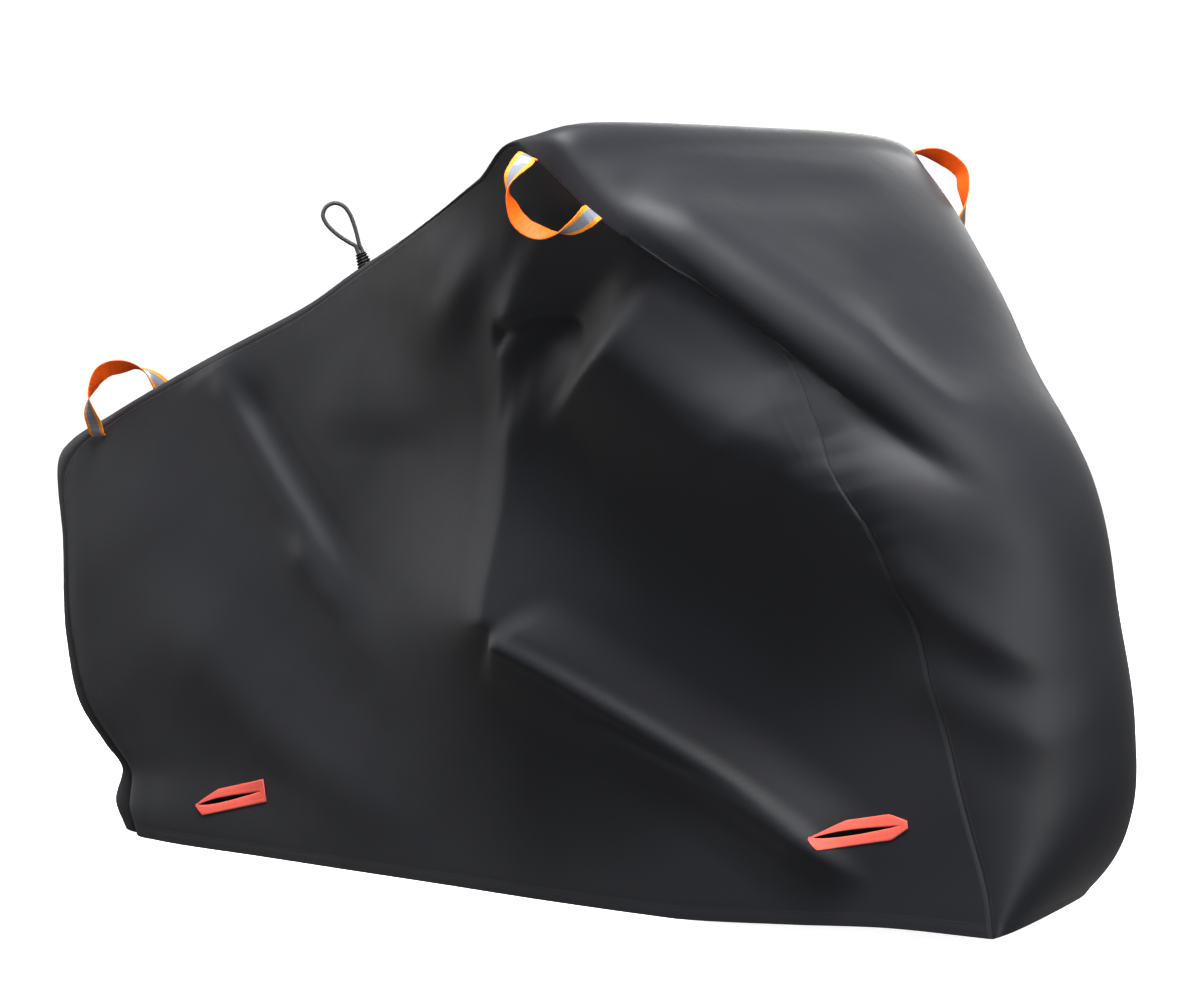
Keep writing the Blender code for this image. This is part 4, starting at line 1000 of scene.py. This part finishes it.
# ---- settings -----------------------------------------------------------------------------------
def hex_colour(name, default, description):
    """A text setting that holds an sRGB hex colour."""
    return bpy.props.StringProperty(name=name, description=description, default=default, maxlen=7)


def metres(name, default, description):
    """A length setting."""
    return bpy.props.FloatProperty(name=name, description=description, default=default, min=0.0,
                                   subtype="DISTANCE", unit="LENGTH", precision=4)


class CoverSettings(bpy.types.PropertyGroup):
    """Sizes and colours that a user would change."""
    cloth_colour: hex_colour("Cloth", "#1b1c21", "Colour of the coated cloth")
    webbing_colour: hex_colour("Webbing", "#ff5a02", "Plain face of the grab loops")
    edge_colour: hex_colour("Loop edges", "#f08c1c", "Edges beside the reflective stripe")
    stripe_colour: hex_colour("Stripe", "#787d88", "Reflective stripe of the grab loops")
    binding_colour: hex_colour("Binding", "#ff6656", "Tape around the lock slots")
    cord_colour: hex_colour("Cord", "#3a3a3e", "Elastic cord")
    knot_colour: hex_colour("Knot", "#161618", "Thread wound round the cord's ends")
    seam_thread_colour: hex_colour("Seam thread", "#2e2e31", "Stitching of the seams and the hem")
    binding_thread_colour: hex_colour("Binding thread", "#d8483c", "Stitching of the bindings")
    paper_colour: hex_colour("Backdrop", "#fafafa", "Floor and backdrop of the studio")
    cloth_thickness: metres("Cloth thickness", 0.0016, "Cloth with its coat and seam allowances")
    webbing_width: metres("Webbing width", 0.029, "Width of the grab loops' strap")
    webbing_thickness: metres("Webbing thickness", 0.0016, "Thickness of the grab loops' strap")
    binding_thickness: metres("Binding thickness", 0.0015, "Thickness of the slots' binding")
    cord_diameter: metres("Cord diameter", 0.0062, "Diameter of the elastic cord")
    stitch_pitch: metres("Stitch pitch", 0.0042, "Distance from one stitch to the next")
    slack: metres("Slack", 0.0003, "Height of the soft waves all over the cloth")


def settings():
    """The scene's own settings."""
    return bpy.context.scene.cover


cloth_cache = {}


def cloth():
    """The visible cloth: its three grids, their normals and a search tree, made once."""
    if not cloth_cache:
        grids, normals = visible_cover()
        grids = [grid + MOVED for grid in grids]
        cloth_cache["grids"] = grids
        cloth_cache["normals"] = normals
        cloth_cache["tree"] = grid_tree(zip(grids, (False, False, True)))
    return cloth_cache


# ---- operators ----------------------------------------------------------------------------------
class COVER_OT_camera(bpy.types.Operator):
    """Camera at the front right quarter, level with the top and tilted down a little."""
    bl_idname = "cover.camera"
    bl_label = "Camera"

    def execute(self, context):
        data = bpy.data.cameras.new("camera")
        data.lens, data.sensor_width = CAMERA_LENS
        data.clip_end = 60.0
        aside, before, high = CAMERA_PLACE
        camera = bpy.data.objects.new("camera", data)
        camera.location = aside * VIEW_RIGHT - before * VIEW_AWAY + high * UP + MOVED
        camera.rotation_euler = (math.pi / 2 - CAMERA_TILT, 0.0, QUARTER)
        context.scene.collection.objects.link(camera)
        context.scene.camera = camera
        return {"FINISHED"}


class COVER_OT_cord(bpy.types.Operator):
    """Elastic cord loop and the wrapped knot that it comes out of."""
    bl_idname = "cover.cord"
    bl_label = "Elastic cord"

    def execute(self, context):
        sizes = settings()
        wrap = waxed_thread("waxed_winding_thread", sizes.knot_colour)
        knot, top, axis = wrapped_knot(cloth()["tree"], wrap)
        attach(knot, "root")
        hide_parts("cord_knot")
        route = cord_route(top, axis, sizes.cord_diameter)
        curve = bpy.data.curves.new("cord_loop", "CURVE")
        curve.dimensions = "3D"
        curve.bevel_depth = sizes.cord_diameter / 2
        curve.bevel_resolution = 4
        curve.use_fill_caps = True
        run = curve.splines.new("POLY")
        run.points.add(len(route) - 1)
        run.points.foreach_set("co", np.concatenate((route, np.ones((len(route), 1))), 1).ravel())
        curve.materials.append(braided_elastic(sizes.cord_colour))
        cord = bpy.data.objects.new("cord_loop", curve)
        context.scene.collection.objects.link(cord)
        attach(cord, "root")
        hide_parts("elastic_cord")
        return {"FINISHED"}


class COVER_OT_cloth(bpy.types.Operator):
    """The right, centre and left cloth panels, with the lock slots cut through the right one."""
    bl_idname = "cover.cloth"
    bl_label = "Cloth panels"

    def execute(self, context):
        sizes = settings()
        made = cloth()
        fabric = coated_polyester(sizes.cloth_colour)
        for (name, solid, flip, cut), grid, normals in zip((
                ("right_cloth", "right_panel", False, RIGHT_CUT),
                ("centre_cloth", "centre_panel", False, CENTRE_CUT),
                ("left_cloth", "left_panel", True, LEFT_CUT)), made["grids"], made["normals"]):
            rows, columns = grid.shape[:2]
            outer = grid.reshape(-1, 3)
            inner = outer - sizes.cloth_thickness * normals.reshape(-1, 3)
            points = np.concatenate((outer, inner))
            points[:, 2] = np.maximum(points[:, 2], 0.0)
            ways = run_lengths(grid, 0).mean(axis=1), run_lengths(grid, 1).mean(axis=0)
            uv = np.stack(np.meshgrid(*ways, indexing="ij"), -1)
            uv = np.tile(uv.reshape(-1, 2), (2, 1))
            panel = piece(name, points, [sheet_faces(rows, columns, flip)], [fabric], uv=uv)
            if solid == "right_panel":
                for row in SLOTS.values():
                    cut_slit(panel, slot_outlines(*row)[1])
            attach(panel, "root")
            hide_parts(solid)
        return {"FINISHED"}


class COVER_OT_slots(bpy.types.Operator):
    """The tape bindings of the two lock slots, with their stitching."""
    bl_idname = "cover.slots"
    bl_label = "Lock slots"

    def execute(self, context):
        sizes = settings()
        tape = polyester_tape(sizes.binding_colour)
        thread = waxed_thread("binding_stitch_thread", sizes.binding_thread_colour)
        for name, row in SLOTS.items():
            binding, sewn = slot_binding(name, row, cloth()["tree"], tape, thread)
            for thing in (binding, sewn):
                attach(thing, "root")
            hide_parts(name)
        return {"FINISHED"}


class COVER_OT_loops(bpy.types.Operator):
    """The three webbing grab loops, with a reflective stripe on one face."""
    bl_idname = "cover.loops"
    bl_label = "Grab loops"

    def execute(self, context):
        sizes = settings()
        plain = polypropylene_webbing("polypropylene_webbing", sizes.webbing_colour)
        striped = polypropylene_webbing("reflective_webbing", sizes.webbing_colour,
                                        sizes.stripe_colour, sizes.edge_colour)
        for name, row in LOOPS.items():
            strap = grab_loop(name, row, cloth()["tree"], (plain, striped))
            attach(strap, "root")
            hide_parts(name)
        return {"FINISHED"}


class COVER_OT_stitching(bpy.types.Operator):
    """Top stitching beside the two long seams and round the hem."""
    bl_idname = "cover.stitching"
    bl_label = "Stitching"

    def execute(self, context):
        sizes = settings()
        thread = waxed_thread("seam_thread", sizes.seam_thread_colour)
        for name, lot in stitch_lines(sizes.stitch_pitch).items():
            points, faces = joined(lot)
            sewn = piece(name, points, faces, [thread])
            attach(sewn, "root")
        return {"FINISHED"}


class COVER_OT_studio(bpy.types.Operator):
    """Pale floor with a wall that curves up all round it, far off, and soft lights."""
    bl_idname = "cover.studio"
    bl_label = "Studio"

    def execute(self, context):
        paper = studio_paper(settings().paper_colour)
        radius, bend, high, under = PAPER
        turn = np.linspace(0.0, math.pi / 2, 13)
        floor = turned("paper_floor", np.array((0.01, radius)), np.full(2, -under), paper)
        wall = turned("paper_wall", radius + bend * np.append(np.sin(turn), 1.0),
                      np.append(bend * (1.0 - np.cos(turn)), high) - under, paper)
        wall.visible_shadow = False
        for sheet in (floor, wall):
            sheet.visible_diffuse = False
            sheet.visible_glossy = False
        context.scene.view_settings.view_transform = "Standard"
        world = context.scene.world or bpy.data.worlds.new("studio_air")
        context.scene.world = world
        world.use_nodes = True
        air = world.node_tree.nodes["Background"]
        air.inputs["Color"].default_value = (1.0, 1.0, 1.0, 1.0)
        place = node(world.node_tree, "TexCoord")
        sky = node(world.node_tree, "VectorMath", {0: place.outputs["Generated"], 1: SKY_WAY},
                   operation="DOT_PRODUCT")
        fall = node(world.node_tree, "MapRange", {"Value": sky.outputs["Value"], "From Min": -0.6,
                                                  "To Min": SKY[0], "To Max": SKY[1]})
        world.node_tree.links.new(fall.outputs[0], air.inputs["Strength"])
        for name, across, behind, high, width, length, watts in LIGHTS:
            data = bpy.data.lights.new(name, "AREA")
            data.shape = "RECTANGLE"
            data.size = width
            data.size_y = length
            data.energy = watts
            light = bpy.data.objects.new(name, data)
            light.visible_camera = False
            place = Vector(across * VIEW_RIGHT + behind * VIEW_AWAY + high * UP)
            light.location = place
            light.rotation_euler = (Vector(LIGHT_AIM) - place).to_track_quat("-Z", "Y").to_euler()
            context.scene.collection.objects.link(light)
        return {"FINISHED"}


class COVER_PT_panel(bpy.types.Panel):
    """The cover's pieces and settings."""
    bl_idname = "COVER_PT_panel"
    bl_label = "Bicycle cover"
    bl_space_type = "VIEW_3D"
    bl_region_type = "UI"
    bl_category = "Cover"

    def draw(self, context):
        for name in CoverSettings.__annotations__:
            self.layout.prop(context.scene.cover, name)
        for operator in STEPS:
            self.layout.operator(operator.bl_idname)


STEPS = (COVER_OT_camera, COVER_OT_cord, COVER_OT_cloth, COVER_OT_slots, COVER_OT_loops,
         COVER_OT_stitching, COVER_OT_studio)
CLASSES = (CoverSettings, *STEPS, COVER_PT_panel)


def register():
    """Register the classes and give the scene its settings."""
    for thing in CLASSES:
        bpy.utils.register_class(thing)
    bpy.types.Scene.cover = bpy.props.PointerProperty(type=CoverSettings)


def unregister():
    """Undo register."""
    del bpy.types.Scene.cover
    for thing in reversed(CLASSES):
        bpy.utils.unregister_class(thing)


def main():
    """Register the classes and make every piece in order."""
    register()
    for operator in STEPS:
        family, name = operator.bl_idname.split(".")
        getattr(getattr(bpy.ops, family), name)()


if __name__ == "__main__":
    main()
